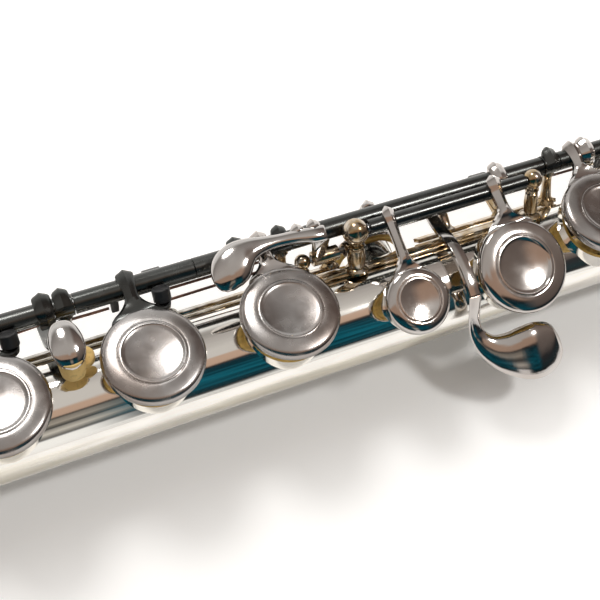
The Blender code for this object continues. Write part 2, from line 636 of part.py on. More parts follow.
def build_offset_g():
    """Offset G key: a full cup for the finger and a small one beside it, on one hinge tube."""
    low, high = OFFSET_POSTS[0] + 2.7 * MM, OFFSET_POSTS[1] - 2.0 * MM
    made = hinge_tube(low, high, OFFSET_AXIS, SLIM_HINGE)
    for x, radius, dish, spread in (
        (G_SHARP_X, TWIN_CUP, TWIN_DISH, 6.0 * MM), (A_X, CUP_RADIUS, CUP_DISH, 8.4 * MM),
    ):
        union(made, cup_arm(x, OFFSET_AXIS, radius, -OFFSET_TURN, 2.8 * MM, spread),
              cup(x, radius, dish, -OFFSET_TURN))
    difference(made, bore_of(low, high, OFFSET_AXIS))
    node("g_key", made, "key_silver", OFFSET_AXIS, OPEN_OFFSET)
    build_pad("g_pad", A_X, OFFSET_AXIS, OPEN_OFFSET, CUP_RADIUS, -OFFSET_TURN)
    build_pad("g_twin_pad", G_SHARP_X, OFFSET_AXIS, OPEN_OFFSET, TWIN_CUP, -OFFSET_TURN)


def build_g_sharp():
    """G sharp key: a lever over the tube to a touch in front, and a closed cup behind."""
    low, high = G_SHARP_POSTS[0] + BESIDE_POST, G_SHARP_POSTS[1] - BESIDE_POST
    arm_x = -74.2 * MM
    made = hinge_tube(low, high, G_SHARP_AXIS, 1.5 * MM)
    over = [on_tube(degrees, reach) for degrees, reach in (
        (62, 18.0 * MM), (54, 15.2 * MM), (42, 13.4 * MM), (15, 13.0 * MM), (-12, 13.2 * MM),
        (-30, 13.9 * MM))]
    lever = bent_bar(over + [(-10.0 * MM, 7.4 * MM), (-12.4 * MM, 4.2 * MM), (-17.0 * MM, 3.6 * MM)],
                     BAR, 3.2 * MM, arm_x)
    touch = slab(teardrop((-61.0 * MM, -20.6 * MM), 4.6 * MM, (-73.4 * MM, -17.6 * MM), 2.2 * MM),
                 1.6 * MM)
    moved(touch, Matrix.Translation((0, 0, 3.4 * MM)))
    back = cup_arm(G_SHARP_X, G_SHARP_AXIS, G_SHARP_CUP, BACK_TURN, 2.6 * MM, 6 * MM)
    union(made, lever, touch, back, cup(G_SHARP_X, G_SHARP_CUP, G_SHARP_DISH, BACK_TURN))
    difference(made, bore_of(low, high, G_SHARP_AXIS, SLIM_BORE))
    node("g_sharp_key", made, "key_silver", G_SHARP_AXIS)
    build_pad("g_sharp_pad", G_SHARP_X, G_SHARP_AXIS, 0, G_SHARP_CUP, BACK_TURN)


def oval_touch(x, centre, half_long, half_wide):
    """Domed oval touch piece, longer across the tube than along it."""
    made = ball(1, (0, 0, 0), (half_wide, half_long, 1.3 * MM), 10)
    return moved(made, Matrix.Translation((x, *centre)))


def trill_arm(x):
    """Arm of a trill touch, which comes up from under the main hinge line."""
    return bent_bar([TRILL_AXIS, (15.2 * MM, 4.6 * MM), (12.3 * MM, 7.4 * MM), (9.8 * MM, 10.6 * MM),
                     (8.2 * MM, 13.6 * MM), (7.2 * MM, 16.6 * MM)], BAR, 2.4 * MM, x)


def build_trill_keys():
    """Two trill keys on one line: the E flat trill's rod turns inside the D trill's tube."""
    touch_centre = (6.4 * MM, 17.0 * MM)
    for name, touch_x, cup_x, low, high, solid in (
        ("trill_e_flat", note_x(4.5), TRILL_E_FLAT_X, TRILL_POSTS[0] - 2.2 * MM,
         TRILL_POSTS[1] + 2.2 * MM, True),
        ("trill_d", note_x(5.5), TRILL_D_X, -154.6 * MM, 47.0 * MM, False),
    ):
        arm_x = touch_x - 2.2 * MM
        if solid:
            made = cylinder(SLIM_ROD, low, high, TRILL_AXIS)
            for x in (arm_x, cup_x):
                union(made, cylinder(SLIM_HINGE, x - 2 * MM, x + 2 * MM, TRILL_AXIS))
        else:
            made = hinge_tube(low, high, TRILL_AXIS, SLIM_HINGE)
        union(made, trill_arm(arm_x), oval_touch(touch_x, touch_centre, 4.65 * MM, 3.1 * MM),
              cup_arm(cup_x, TRILL_AXIS, SMALL_CUP, BACK_TURN, 2.4 * MM, 5.0 * MM),
              cup(cup_x, SMALL_CUP, SMALL_DISH, BACK_TURN))
        if not solid:
            difference(made, bore_of(low, high, TRILL_AXIS, SLIM_BORE))
        node(name + "_key", made, "key_silver", TRILL_AXIS)
        build_pad(name + "_pad", cup_x, TRILL_AXIS, 0, SMALL_CUP, BACK_TURN)
    cork_x = note_x(5.5)
    cork = column(2.7 * MM, (cork_x, 2.3 * MM, 11.9 * MM), (cork_x, 3.6 * MM, 15.3 * MM))
    node("trill_cork", cork, "pad_skin", TRILL_AXIS)


def build_thumb_keys():
    """B thumb key with its cup and touch, and the B flat thumb lever beside it.

    Both are worked out as if they lay on top of the tube, and then turned to the player's side.
    """
    turn = math.radians(BACK_TURN)
    hinge = (THUMB_AXIS[0] * math.cos(turn) - THUMB_AXIS[1] * math.sin(turn),
             THUMB_AXIS[0] * math.sin(turn) + THUMB_AXIS[1] * math.cos(turn))
    low, middle, high = THUMB_POSTS[0] + BESIDE_POST, 21.1 * MM, THUMB_POSTS[1] - BESIDE_POST
    riser = bent_bar([hinge, (3.6 * MM, 16.2 * MM), (1.4 * MM, 14.0 * MM)], PLATE, 3.2 * MM, 14.8 * MM)
    link = slab([(3 * MM, -4 * MM), (16.2 * MM, -0.8 * MM), (16.2 * MM, 2.5 * MM), (3 * MM, 2.5 * MM)],
                PLATE)
    bar = slab([(-24 * MM, -0.6 * MM), (-4 * MM, -1.6 * MM), (-4 * MM, 3.0 * MM),
                (-24 * MM, 2.6 * MM)], PLATE)
    touch = slab(teardrop((-19 * MM, MM), 4.8 * MM, (-25 * MM, MM), 3.8 * MM), 1.4 * MM)
    for plate in (link, bar, touch):
        moved(plate, Matrix.Translation((0, 0, 14.0 * MM)))
    made = turn_about_tube(union(riser, link, cup(C_X, THUMB_CUP, THUMB_DISH), bar, touch), BACK_TURN)
    union(made, hinge_tube(low, middle, THUMB_AXIS, SLIM_HINGE))
    difference(made, bore_of(low, middle, THUMB_AXIS, SLIM_BORE))
    node("b_thumb_key", made, "key_silver", THUMB_AXIS, OPEN_THUMB)
    build_pad("b_thumb_pad", C_X, THUMB_AXIS, OPEN_THUMB, THUMB_CUP, BACK_TURN)
    riser = bent_bar([hinge, (4.4 * MM, 16.6 * MM), (2.6 * MM, 15.7 * MM)], PLATE, 3.0 * MM, 24.6 * MM)
    plate = slab(teardrop((25.5 * MM, 0.8 * MM), 3.6 * MM, (20.8 * MM, 0.8 * MM), 2.6 * MM), PLATE)
    moved(plate, Matrix.Translation((0, 0, 15.6 * MM)))
    made = turn_about_tube(union(riser, plate), BACK_TURN)
    union(made, hinge_tube(middle, high, THUMB_AXIS, SLIM_HINGE))
    difference(made, bore_of(middle, high, THUMB_AXIS, SLIM_BORE))
    node("b_flat_thumb_lever", made, "key_silver", THUMB_AXIS)


def build_foot_keys():
    """C foot: low C sharp and low C on one line, E flat on its own short rod in front."""
    # Low C: a solid rod that turns inside the low C sharp tube.
    c_rod = cylinder(SLIM_ROD, FOOT_POSTS[0] - 2.2 * MM, FOOT_POSTS[1] + 2.2 * MM, MAIN_AXIS)
    barrel = cylinder(HINGE_RADIUS, -300.9 * MM, -285.5 * MM, MAIN_AXIS)
    collar = cylinder(HINGE_RADIUS, -238.6 * MM, -233.8 * MM, MAIN_AXIS)
    low_c = union(c_rod, barrel, collar, cup_arm(LOW_C_SHARP_X, MAIN_AXIS), cup(LOW_C_SHARP_X),
                  touch_fork(-236.3 * MM, *ROLLER_AXES["low_c"]))
    node("low_c_key", low_c, "key_silver", MAIN_AXIS, OPEN_MAIN)
    build_pad("low_c_pad", LOW_C_SHARP_X, MAIN_AXIS, OPEN_MAIN)
    low, high = -285.2 * MM, -238.9 * MM
    made = union(hinge_tube(low, high, MAIN_AXIS), cup_arm(LOW_D_X, MAIN_AXIS),
                 cup(LOW_D_X), touch_fork(-242.0 * MM, *ROLLER_AXES["low_c_sharp"]))
    difference(made, bore_of(low, high, MAIN_AXIS, SLIM_BORE))
    node("low_c_sharp_key", made, "key_silver", MAIN_AXIS, OPEN_MAIN)
    build_pad("low_c_sharp_pad", LOW_D_X, MAIN_AXIS, OPEN_MAIN)
    for name, axis in ROLLER_AXES.items():
        roller = sleeve(1.7 * MM, 0.9 * MM, *ROLLER_SPAN, axis)
        node(name + "_roller", roller, "key_silver", MAIN_AXIS, OPEN_MAIN)
    # E flat: closed at rest; its touch is on the far side of its hinge.
    low, high = E_FLAT_POSTS[0] + BESIDE_POST, E_FLAT_POSTS[1] - BESIDE_POST
    made = union(hinge_tube(low, high, E_FLAT_AXIS, 1.6 * MM),
                 cup_arm(E_FLAT_X, E_FLAT_AXIS), cup(E_FLAT_X))
    arm = bent_bar([(-13.4 * MM, 10.2 * MM), (-16.4 * MM, 9.6 * MM), (-19.0 * MM, 8.2 * MM)],
                   1.4 * MM, 5 * MM, -224.0 * MM)
    touch = slab(teardrop((-226.5 * MM, -19.6 * MM), 4.6 * MM, (-217.5 * MM, -19.2 * MM), 3.4 * MM),
                 1.5 * MM)
    moved(touch, Matrix.Translation((0, 0, 7.8 * MM)))
    union(made, arm, touch)
    difference(made, bore_of(low, high, E_FLAT_AXIS, SLIM_BORE))
    node("e_flat_key", made, "key_silver", E_FLAT_AXIS)
    build_pad("e_flat_pad", E_FLAT_X, E_FLAT_AXIS, 0)


def touch_fork(x, y, z):
    """Touch of a low key: an arm over the tube, and an axle between two ears for its roller."""
    arm = bent_bar([(14.8 * MM, 13.2 * MM), (9 * MM, 15.4 * MM), (0, 16.2 * MM),
                    (-9 * MM, 14.8 * MM), (-14.4 * MM, 12.4 * MM), (y + 0.2 * MM, z + 0.2 * MM)],
                   BAR, 2.6 * MM, x)
    low, high = ROLLER_SPAN
    axle = cylinder(0.6 * MM, low - 1.2 * MM, x + 0.6 * MM, (y, z))
    inner_ear = cylinder(1.3 * MM, high + GAP, x + 0.8 * MM, (y, z))
    outer_ear = cylinder(1.3 * MM, low - 1.4 * MM, low - GAP, (y, z))
    return union(arm, axle, inner_ear, outer_ear)


# Head joint ------------------------------------------------------------------------------------------

def mouth_prism(half_long, half_wide, low, high):
    """Upright oval column at the mouth hole."""
    made = column(1, (0, 0, 0), (0, 0, 1), segments=TUBE_SIDES)
    shape = Matrix.Diagonal((half_long, half_wide, high - low, 1))
    return moved(made, Matrix.Translation((MOUTH_X, 0, low)) @ shape)


def head_cone(offset, low=HEAD_TENON_END, high=HEAD_TOP_END):
    """Solid cone of the head joint's outer shape, grown or shrunk by an offset."""
    slope = (TUBE_RADIUS - HEAD_RADIUS_AT_MOUTH) / (MOUTH_X - HEAD_TENON_END)
    radius = [TUBE_RADIUS + offset - slope * (x - HEAD_TENON_END) for x in (low, high)]
    return cylinder(radius[0], low, high, segments=TUBE_SIDES, radius_high=radius[1])


def build_head_joint():
    tube = difference(head_cone(0), head_cone(-TUBE_WALL, HEAD_TENON_END - MM, HEAD_TOP_END + MM),
                      mouth_prism(6.5 * MM, 5.6 * MM, 0, 14 * MM))
    node("head_tube", tube, "silver_plate")
    riser = mouth_prism(7.4 * MM, 6.5 * MM, 5 * MM, 14 * MM)
    difference(riser, head_cone(GAP), mouth_prism(*MOUTH_HOLE, 4 * MM, 16 * MM))
    under_plate = cylinder(LIP_RADIUS - 0.35 * MM, MOUTH_X - 20 * MM, MOUTH_X + 20 * MM,
                           segments=2 * TUBE_SIDES)
    boolean(riser, under_plate, "INTERSECT")
    node("mouth_riser", riser, "silver_plate")
    node("lip_plate", lip_plate(), "silver_plate")
    stopper_low, stopper_high = MOUTH_X + 18.6 * MM, MOUTH_X + 33 * MM
    bore = SCREW_RADIUS + 0.35 * MM
    cork = sleeve(STOPPER_RADIUS - 0.05 * MM, bore, stopper_low, stopper_high, segments=TUBE_SIDES)
    node("stopper_cork", cork, "cork")
    plate = cylinder(STOPPER_RADIUS, MOUTH_X + 17 * MM, stopper_low - GAP, segments=TUBE_SIDES)
    screw = union(plate, cylinder(SCREW_RADIUS, MOUTH_X + 17.6 * MM, 318 * MM))
    node("stopper_screw", screw, "silver_plate")
    profile = [(0, CROWN_END), (4.5 * MM, CROWN_END - 0.4 * MM), (8.0 * MM, CROWN_END - 2.4 * MM),
               (9.2 * MM, CROWN_END - 5.5 * MM), (9.0 * MM, CROWN_END - 11.5 * MM),
               (9.8 * MM, CROWN_END - 13.2 * MM), (9.8 * MM, HEAD_TOP_END + GAP),
               (7.9 * MM, HEAD_TOP_END + GAP), (7.9 * MM, 307 * MM), (bore, 307 * MM),
               (bore, 319 * MM), (0, 319 * MM)]
    node("crown", turned_along_x(profile, closed=False), "silver_plate")


def lip_plate():
    """Oval plate bent round the tube, with the mouth hole through it."""
    half_long, half_turn = 24 * MM, math.radians(74)
    bm = bmesh.new()
    bmesh.ops.create_grid(bm, x_segments=8, y_segments=8, size=1)
    for vert in bm.verts:
        u, v = vert.co.x, vert.co.y
        round_u = u * math.sqrt(1 - v * v / 2)
        round_v = v * math.sqrt(1 - u * u / 2)
        turn = round_v * half_turn
        reach = LIP_RADIUS - 0.9 * MM * abs(round_u) ** 3
        vert.co = (MOUTH_X + round_u * half_long, reach * math.sin(turn), reach * math.cos(turn))
    bmesh.ops.recalc_face_normals(bm, faces=bm.faces)
    plate = new_object("lip_plate", bm)
    thick = plate.modifiers.new("thickness", "SOLIDIFY")
    thick.thickness = LIP_THICKNESS
    thick.offset = 1
    plate = keep_evaluated(plate)
    return difference(plate, mouth_prism(*MOUTH_HOLE, 4 * MM, 20 * MM))


# The flute -------------------------------------------------------------------------------------------

clear_scene()
parts = bpy.data.collections.new("concert_flute")
bpy.context.scene.collection.children.link(parts)
flute_axis = bpy.data.objects.new("flute_axis", None)
flute_axis.location = (0, (FRONT_REACH - BACK_REACH) / 2, BARREL_RING)
parts.objects.link(flute_axis)

build_head_joint()
build_body_tube()
build_foot_tube()
build_posts()
build_rods()
build_right_hand_keys()
build_left_hand_keys()
build_b_flat_lever()
build_offset_g()
build_g_sharp()
build_trill_keys()
build_thumb_keys()
build_foot_keys()
bpy.context.view_layer.update()
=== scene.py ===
"""Finished look of a concert flute, built round its packed working model.

Shapes are worked out in millimetres round the tube's own axis, keys closed, and are then opened
about their hinges and put in place by settle().
"""

import json
import math

import bmesh
import bpy
from mathutils import Matrix, Vector


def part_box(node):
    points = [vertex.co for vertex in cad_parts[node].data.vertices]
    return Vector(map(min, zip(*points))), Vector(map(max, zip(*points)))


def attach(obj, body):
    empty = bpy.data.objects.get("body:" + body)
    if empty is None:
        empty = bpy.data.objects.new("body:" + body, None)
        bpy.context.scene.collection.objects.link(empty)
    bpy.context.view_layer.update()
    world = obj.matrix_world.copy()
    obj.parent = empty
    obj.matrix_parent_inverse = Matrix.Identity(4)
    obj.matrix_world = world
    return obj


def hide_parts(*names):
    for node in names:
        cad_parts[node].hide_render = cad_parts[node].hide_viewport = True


bl_info = {
    "name": "Concert flute",
    "version": (1, 0, 0),
    "blender": (4, 5, 0),
    "location": "3D View > Sidebar > Flute",
    "description": "Builds the finished concert flute piece by piece",
    "category": "Add Mesh",
}

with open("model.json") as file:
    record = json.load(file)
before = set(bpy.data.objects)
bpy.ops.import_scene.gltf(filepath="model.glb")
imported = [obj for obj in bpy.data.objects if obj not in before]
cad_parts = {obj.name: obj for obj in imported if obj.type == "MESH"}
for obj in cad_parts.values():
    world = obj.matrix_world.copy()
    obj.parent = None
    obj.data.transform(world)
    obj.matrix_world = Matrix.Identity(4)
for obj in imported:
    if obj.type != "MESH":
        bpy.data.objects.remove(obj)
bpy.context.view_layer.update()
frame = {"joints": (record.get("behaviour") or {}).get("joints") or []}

MM = 0.001
LENGTH = {"unit": "LENGTH", "min": 0.0, "precision": 5}
COLOUR = {"subtype": "COLOR", "size": 3, "min": 0.0, "max": 1.0}


# Places read from the working model ---------------------------------------------------------

def middle(node):
    low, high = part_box(node)
    return (low + high) / 2


AXIS = Vector((0, middle("barrel").y, middle("barrel").z))
JOINTS = {joint["child"]: joint for joint in frame["joints"]}


def hinge(body):
    """(y, z) of a body's hinge in millimetres from the tube's axis."""
    place = Vector(JOINTS[body]["pos_m"]) - AXIS
    return place.y / MM, place.z / MM


def hole_x(pad):
    return middle(pad).x / MM


def reach(node):
    """Lowest and highest x of a node in millimetres."""
    low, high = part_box(node)
    return low.x / MM, high.x / MM


MAIN = hinge("f_key")
OFFSET = hinge("g_key")
SIDE = hinge("b_flat_lever")
TRILL = hinge("trill_d_key")
G_SHARP = hinge("g_sharp_key")
THUMB = hinge("b_thumb_key")
E_FLAT = hinge("e_flat_key")
OFFSET_TURN = -19.6
BACK_TURN = 100.0
MOUTH_X = middle("mouth_riser").x / MM
C_X = hole_x("b_thumb_pad")
MAIN_BORE, SLIM_TUBE, SLIM_BORE = 1.25, 1.55, 1.2   # radii of the hinge tubes, in millimetres
TUBE_WALL = 0.4
SMALL_CUP = 5.6
FINE = 96   # flats round a large tube
OPEN_AT_REST = ("d_key", "e_key", "f_key", "f_sharp_key", "a_key", "b_flat_key", "c_key", "g_key",
                "b_thumb_key", "low_c_key", "low_c_sharp_key")


class FluteSizes(bpy.types.PropertyGroup):
    """Sizes of the finished surfaces."""

    tube_radius: bpy.props.FloatProperty(
        name="Tube radius", description="Outer radius of the body tube", default=0.0099, **LENGTH)
    rim_top: bpy.props.FloatProperty(
        name="Rim height", description="Height of a tone hole's rim over the axis",
        default=0.0111, **LENGTH)
    cup_radius: bpy.props.FloatProperty(
        name="Cup radius", description="Outer radius of a full key cup", default=0.00932, **LENGTH)
    dish_radius: bpy.props.FloatProperty(
        name="Dish radius", description="Radius of the ring round a full cup's dish",
        default=0.00582, **LENGTH)
    cup_top: bpy.props.FloatProperty(
        name="Cup height", description="Height of that ring over the axis, key closed",
        default=0.01436, **LENGTH)
    hinge_radius: bpy.props.FloatProperty(
        name="Hinge radius", description="Radius of the main hinge tubes", default=0.00195, **LENGTH)
    wire_radius: bpy.props.FloatProperty(
        name="Spring radius", description="Radius of a needle spring", default=0.00029, **LENGTH)


class FluteColours(bpy.types.PropertyGroup):
    """Colours of the finishes."""

    silver: bpy.props.FloatVectorProperty(
        name="Silver plate", description="Tubes, lip plate and crown",
        default=(0.90, 0.875, 0.83), **COLOUR)
    key: bpy.props.FloatVectorProperty(
        name="Key silver", description="Worn plate of the cups",
        default=(0.385, 0.366, 0.355), **COLOUR)
    bright: bpy.props.FloatVectorProperty(
        name="Bright silver", description="Polished arms and touches",
        default=(0.55, 0.525, 0.505), **COLOUR)
    dark: bpy.props.FloatVectorProperty(
        name="Dark steel", description="Hinge tubes and their arms",
        default=(0.085, 0.088, 0.085), **COLOUR)
    # Brown tint: partly tarnish, partly painted shade where parts lie in shadow.
    tarnish_and_shade: bpy.props.FloatVectorProperty(
        name="Aged plate", description="Brown tint of ribs and posts",
        default=(0.38, 0.275, 0.155), **COLOUR)
    pad: bpy.props.FloatVectorProperty(
        name="Pad skin", description="Skin of the pads", default=(0.70, 0.47, 0.14), **COLOUR)
    cork: bpy.props.FloatVectorProperty(
        name="Cork", description="Bumpers and stopper", default=(0.76, 0.53, 0.20), **COLOUR)
    floor: bpy.props.FloatVectorProperty(
        name="Floor", description="Pale floor under the flute", default=(0.93, 0.93, 0.925), **COLOUR)


# Shapes -----------------------------------------------------------------------------------------

def sizes():
    return bpy.context.scene.flute_sizes


def mm(value):
    return value / MM


def lathe(profile, steps, loop=False):
    """Closed shape turned round Z from (radius, height) points."""
    bm = bmesh.new()
    verts = [bm.verts.new((r, 0, z)) for r, z in profile]
    pairs = list(zip(verts, verts[1:]))
    if loop:
        pairs.append((verts[-1], verts[0]))
    edges = [bm.edges.new(pair) for pair in pairs]
    bmesh.ops.spin(bm, geom=verts + edges, cent=(0, 0, 0), axis=(0, 0, 1), angle=math.tau,
                   steps=steps, use_merge=True)
    bmesh.ops.remove_doubles(bm, verts=bm.verts, dist=1e-4)
    bmesh.ops.recalc_face_normals(bm, faces=bm.faces)
    return bm


def shifted(bm, x=0.0, y=0.0, z=0.0):
    bm.transform(Matrix.Translation((x, y, z)))
    return bm


def along_x(bm):
    bm.transform(Matrix.Rotation(math.pi / 2, 4, "Y"))
    return bm


def turned(bm, degrees):
    """Turns a shape round the tube, from the top towards the player."""
    bm.transform(Matrix.Rotation(math.radians(-degrees), 4, "X"))
    return bm


def unturned(axis, degrees):
    """(y, z) that turned() brings to this axis."""
    turn = math.radians(degrees)
    return (axis[0] * math.cos(turn) - axis[1] * math.sin(turn),
            axis[0] * math.sin(turn) + axis[1] * math.cos(turn))


def joined(*shapes):
    """One mesh out of several closed shapes."""
    whole = bmesh.new()
    for shape in shapes:
        mesh = bpy.data.meshes.new("part")
        shape.to_mesh(mesh)
        shape.free()
        whole.from_mesh(mesh)
        bpy.data.meshes.remove(mesh)
    return whole


def pipe(outer, inner, low, high, axis=(0, 0), steps=32, edge=0.12):
    """Tube along X with softened ends."""
    profile = [(inner, high), (outer - edge, high), (outer, high - edge), (outer, low + edge),
               (outer - edge, low), (inner, low)]
    return shifted(along_x(lathe(profile, steps, loop=True)), y=axis[0], z=axis[1])


def rod(radius, low, high, axis=(0, 0), steps=24, edge=0.1):
    profile = [(0, high), (radius - edge, high), (radius, high - edge), (radius, low + edge),
               (radius - edge, low), (0, low)]
    return shifted(along_x(lathe(profile, steps)), y=axis[0], z=axis[1])


def globe(radius, centre):
    bm = bmesh.new()
    bmesh.ops.create_uvsphere(bm, u_segments=28, v_segments=14, radius=radius)
    bm.transform(Matrix.Translation(centre))
    return bm


def pillar(profile, foot, head):
    """Turned pillar from foot to head; the profile's heights run from 0 to 1."""
    foot, head = Vector(foot), Vector(head)
    span = head - foot
    bm = lathe([(r, h * span.length) for r, h in profile], 28)
    turn = span.to_track_quat("Z", "X").to_matrix().to_4x4()
    bm.transform(Matrix.Translation(foot) @ turn)
    return bm


def smooth(stations, steps):
    """Rows of numbers along a smooth curve through the given rows."""
    first = [2 * a - b for a, b in zip(stations[0], stations[1])]
    last = [2 * a - b for a, b in zip(stations[-1], stations[-2])]
    rows = [first] + [list(row) for row in stations] + [last]
    path = []
    for a, b, c, d in zip(rows, rows[1:], rows[2:], rows[3:]):
        for i in range(steps):
            t = i / steps
            path.append([0.5 * (2 * q + (r - p) * t + (2 * p - 5 * q + 4 * r - s) * t * t
                                + (3 * q - p - 3 * r + s) * t ** 3)
                         for p, q, r, s in zip(a, b, c, d)])
    return path + [list(stations[-1])]


def at_x(x, *rows):
    """Rows of y, z and the section's measures, all at one x."""
    return [(x, *row) for row in rows]


def sweep(stations, section, steps=4):
    """Loft along rows of x, y, z and the section's own measures."""
    rows = smooth(stations, steps)
    bm = bmesh.new()
    rings = []
    for i, row in enumerate(rows):
        before, after = rows[max(i - 1, 0)], rows[min(i + 1, len(rows) - 1)]
        heading = (Vector(after[:3]) - Vector(before[:3])).normalized()
        across = Vector((0, 0, 1)).cross(heading)
        across = across.normalized() if across.length > 0.05 else Vector((1, 0, 0))
        up = heading.cross(across)
        ring = [bm.verts.new(Vector(row[:3]) + across * u + up * v) for u, v in section(*row[3:])]
        rings.append([bm.edges.new(pair) for pair in zip(ring, ring[1:] + ring[:1])])
    for first, second in zip(rings, rings[1:]):
        bmesh.ops.bridge_loops(bm, edges=first + second)
    for ring in (rings[0], rings[-1]):
        bmesh.ops.edgeloop_fill(bm, edges=ring)
    bmesh.ops.recalc_face_normals(bm, faces=bm.faces)
    return bm


def dome(width, height, depth):
    """Rounded top and shallower rounded underside."""
    over = [(math.cos(a), math.sin(a)) for a in (math.pi * i / 12 for i in range(13))]
    top = [(-width * c, height * s) for c, s in over]
    under = [(width * c * 0.96, -depth * s) for c, s in over[1:-1:2]]
    return top + under


def leaning_dome(width, height, depth, lean):
    return [(u, v + lean * u) for u, v in dome(width, height, depth)]


def ridge(width, height, fork, depth):
    """Ridged bar; with fork the ridge parts into two prongs with a hollow between."""
    prong = width * (0.55 + 0.20 * fork)
    crown = height * (1 - 0.85 * fork)
    side = height * (0.42 + 0.58 * fork)
    half = [(-width, -depth), (-width, -0.05), (-width * 0.93, side * 0.2), (-prong, side)]
    return half + [(0, crown)] + [(-u, v) for u, v in half[::-1]]


def strap_bar(width, height, depth):
    """Flat bar with rounded upper edges."""
    return [(-width, -depth), (-width, height * 0.35), (-width * 0.88, height * 0.8),
            (-width * 0.62, height), (width * 0.62, height), (width * 0.88, height * 0.8),
            (width, height * 0.35), (width, -depth)]


def opened(bm, body):
    """Turns a closed key's shape about its hinge, to where the key stands at rest."""
    y, z = hinge(body)
    place = Matrix.Translation((0, y, z))
    angle = -math.radians(JOINTS[body]["range_deg"][1])
    bm.transform(place @ Matrix.Rotation(angle, 4, "X") @ place.inverted())
    return bm


def settle(bm, name, body, finish, *nodes, sharp=32):
    """Opens a finished shape with its key, puts it in place and gives it its body and finish."""
    if body in OPEN_AT_REST:
        opened(bm, body)
    bm.transform(Matrix.Translation(AXIS) @ Matrix.Scale(MM, 4))
    mesh = bpy.data.meshes.new(name)
    bm.to_mesh(mesh)
    bm.free()
    piece = bpy.data.objects.new(name, mesh)
    bpy.context.scene.collection.objects.link(piece)
    mesh.materials.append(FINISHES[finish]())
    mesh.shade_smooth()
    mesh.set_sharp_from_angle(angle=math.radians(sharp))
    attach(piece, body)
    if nodes:
        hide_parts(*nodes)


# Finishes -----------------------------------------------------------------------------------------


def shader(name, colour, metallic, roughness, **sockets):
    """Principled material and its tree; later calls add the pattern."""
    made = bpy.data.materials.new(name)
    made.use_nodes = True
    tree = made.node_tree
    principled = tree.nodes["Principled BSDF"]
    principled.inputs["Base Color"].default_value = (*colour, 1)
    principled.inputs["Metallic"].default_value = metallic
    principled.inputs["Roughness"].default_value = roughness
    for socket, value in sockets.items():
        principled.inputs[socket.replace("_", " ")].default_value = value
    return made, tree, principled


def position(tree, coordinate="Object"):
    """Sockets X, Y and Z of a texture coordinate."""
    coordinates = tree.nodes.new("ShaderNodeTexCoord")
    split = tree.nodes.new("ShaderNodeSeparateXYZ")
    tree.links.new(coordinates.outputs[coordinate], split.inputs["Vector"])
    return split.outputs


def noise(tree, scale, detail, stretch=(1, 1, 1), coordinate="Object"):
    """Noise, drawn out along the axes by stretch."""
    coordinates = tree.nodes.new("ShaderNodeTexCoord")
    mapping = tree.nodes.new("ShaderNodeMapping")
    mapping.inputs["Scale"].default_value = stretch
    texture = tree.nodes.new("ShaderNodeTexNoise")
    texture.inputs["Scale"].default_value = scale
    texture.inputs["Detail"].default_value = detail
    tree.links.new(coordinates.outputs[coordinate], mapping.inputs["Vector"])
    tree.links.new(mapping.outputs["Vector"], texture.inputs["Vector"])
    return texture.outputs["Fac"]


def ramp(tree, source, *stops):
    """Colour ramp with (place, colour or grey) stops."""
    made = tree.nodes.new("ShaderNodeValToRGB")
    elements = made.color_ramp.elements
    while len(elements) < len(stops):
        elements.new(0.5)
    for element, (place, colour) in zip(elements, stops):
        element.position = place
        element.color = (*colour, 1) if isinstance(colour, tuple) else (colour, colour, colour, 1)
    tree.links.new(source, made.inputs["Fac"])
    return made.outputs["Color"]


def mix(tree, factor, first, second, blend="MIX"):
    node = tree.nodes.new("ShaderNodeMix")
    node.data_type = "RGBA"
    node.blend_type = blend
    for socket, value in ((node.inputs["Factor"], factor), (node.inputs[6], first),
                          (node.inputs[7], second)):
        if isinstance(value, bpy.types.NodeSocket):
            tree.links.new(value, socket)
        else:
            socket.default_value = value if isinstance(value, float) else (*value, 1)
    return node.outputs[2]


def blend_range(tree, value, low, high):
    """0 up to low and 1 from high on, smooth between; low may be the larger one."""
    node = tree.nodes.new("ShaderNodeMapRange")
    node.interpolation_type = "SMOOTHSTEP"
    node.inputs["From Min"].default_value = low
    node.inputs["From Max"].default_value = high
    tree.links.new(value, node.inputs["Value"])
    return node.outputs["Result"]


def bump(tree, principled, height, strength, distance):
    node = tree.nodes.new("ShaderNodeBump")
    node.inputs["Strength"].default_value = strength
    node.inputs["Distance"].default_value = distance
    tree.links.new(height, node.inputs["Height"])
    tree.links.new(node.outputs["Normal"], principled.inputs["Normal"])


def darker(colour, factor, tint=(1, 1, 1)):
    return tuple(c * factor * t for c, t in zip(colour, tint))


def once(maker):
    """Makes each material a single time."""
    kept = {}

    def make():
        if maker not in kept:
            kept[maker] = maker()
        return kept[maker]
    return make


@once
def silver():
    """Polished plate, darker, creamier, duller, mottled and speckled down the far side."""
    base = bpy.context.scene.flute_colours.silver
    made, tree, principled = shader("silver_plate", base, 1.0, 0.1)
    patches = noise(tree, 260, 4, (0.06, 1, 1))
    spots = noise(tree, 700, 3, (0.2, 1, 1))
    radius = sizes().tube_radius
    # Far side of the tube, where the plate is made darker, creamier, duller and speckled.
    side = blend_range(tree, position(tree)["Y"], AXIS.y - 0.70 * radius, AXIS.y - 0.88 * radius)
    blotch = ramp(tree, patches, (0.42, 0.0), (0.62, 1.0))
    haze = mix(tree, side, (0.10, 0.10, 0.10), blotch)
    speckle = ramp(tree, spots, (0.35, 0.90), (0.60, 1.0))
    tint = mix(tree, haze, base, darker(base, 0.86, (1.0, 0.97, 0.88)))
    tint = mix(tree, side, tint, mix(tree, 1.0, tint, speckle, "MULTIPLY"))
    tree.links.new(tint, principled.inputs["Base Color"])
    rough = ramp(tree, haze, (0.0, 0.055), (1.0, 0.30))
    dulled = mix(tree, side, rough, mix(tree, 0.55, rough, (0.36, 0.36, 0.36)))
    tree.links.new(dulled, principled.inputs["Roughness"])
    return made


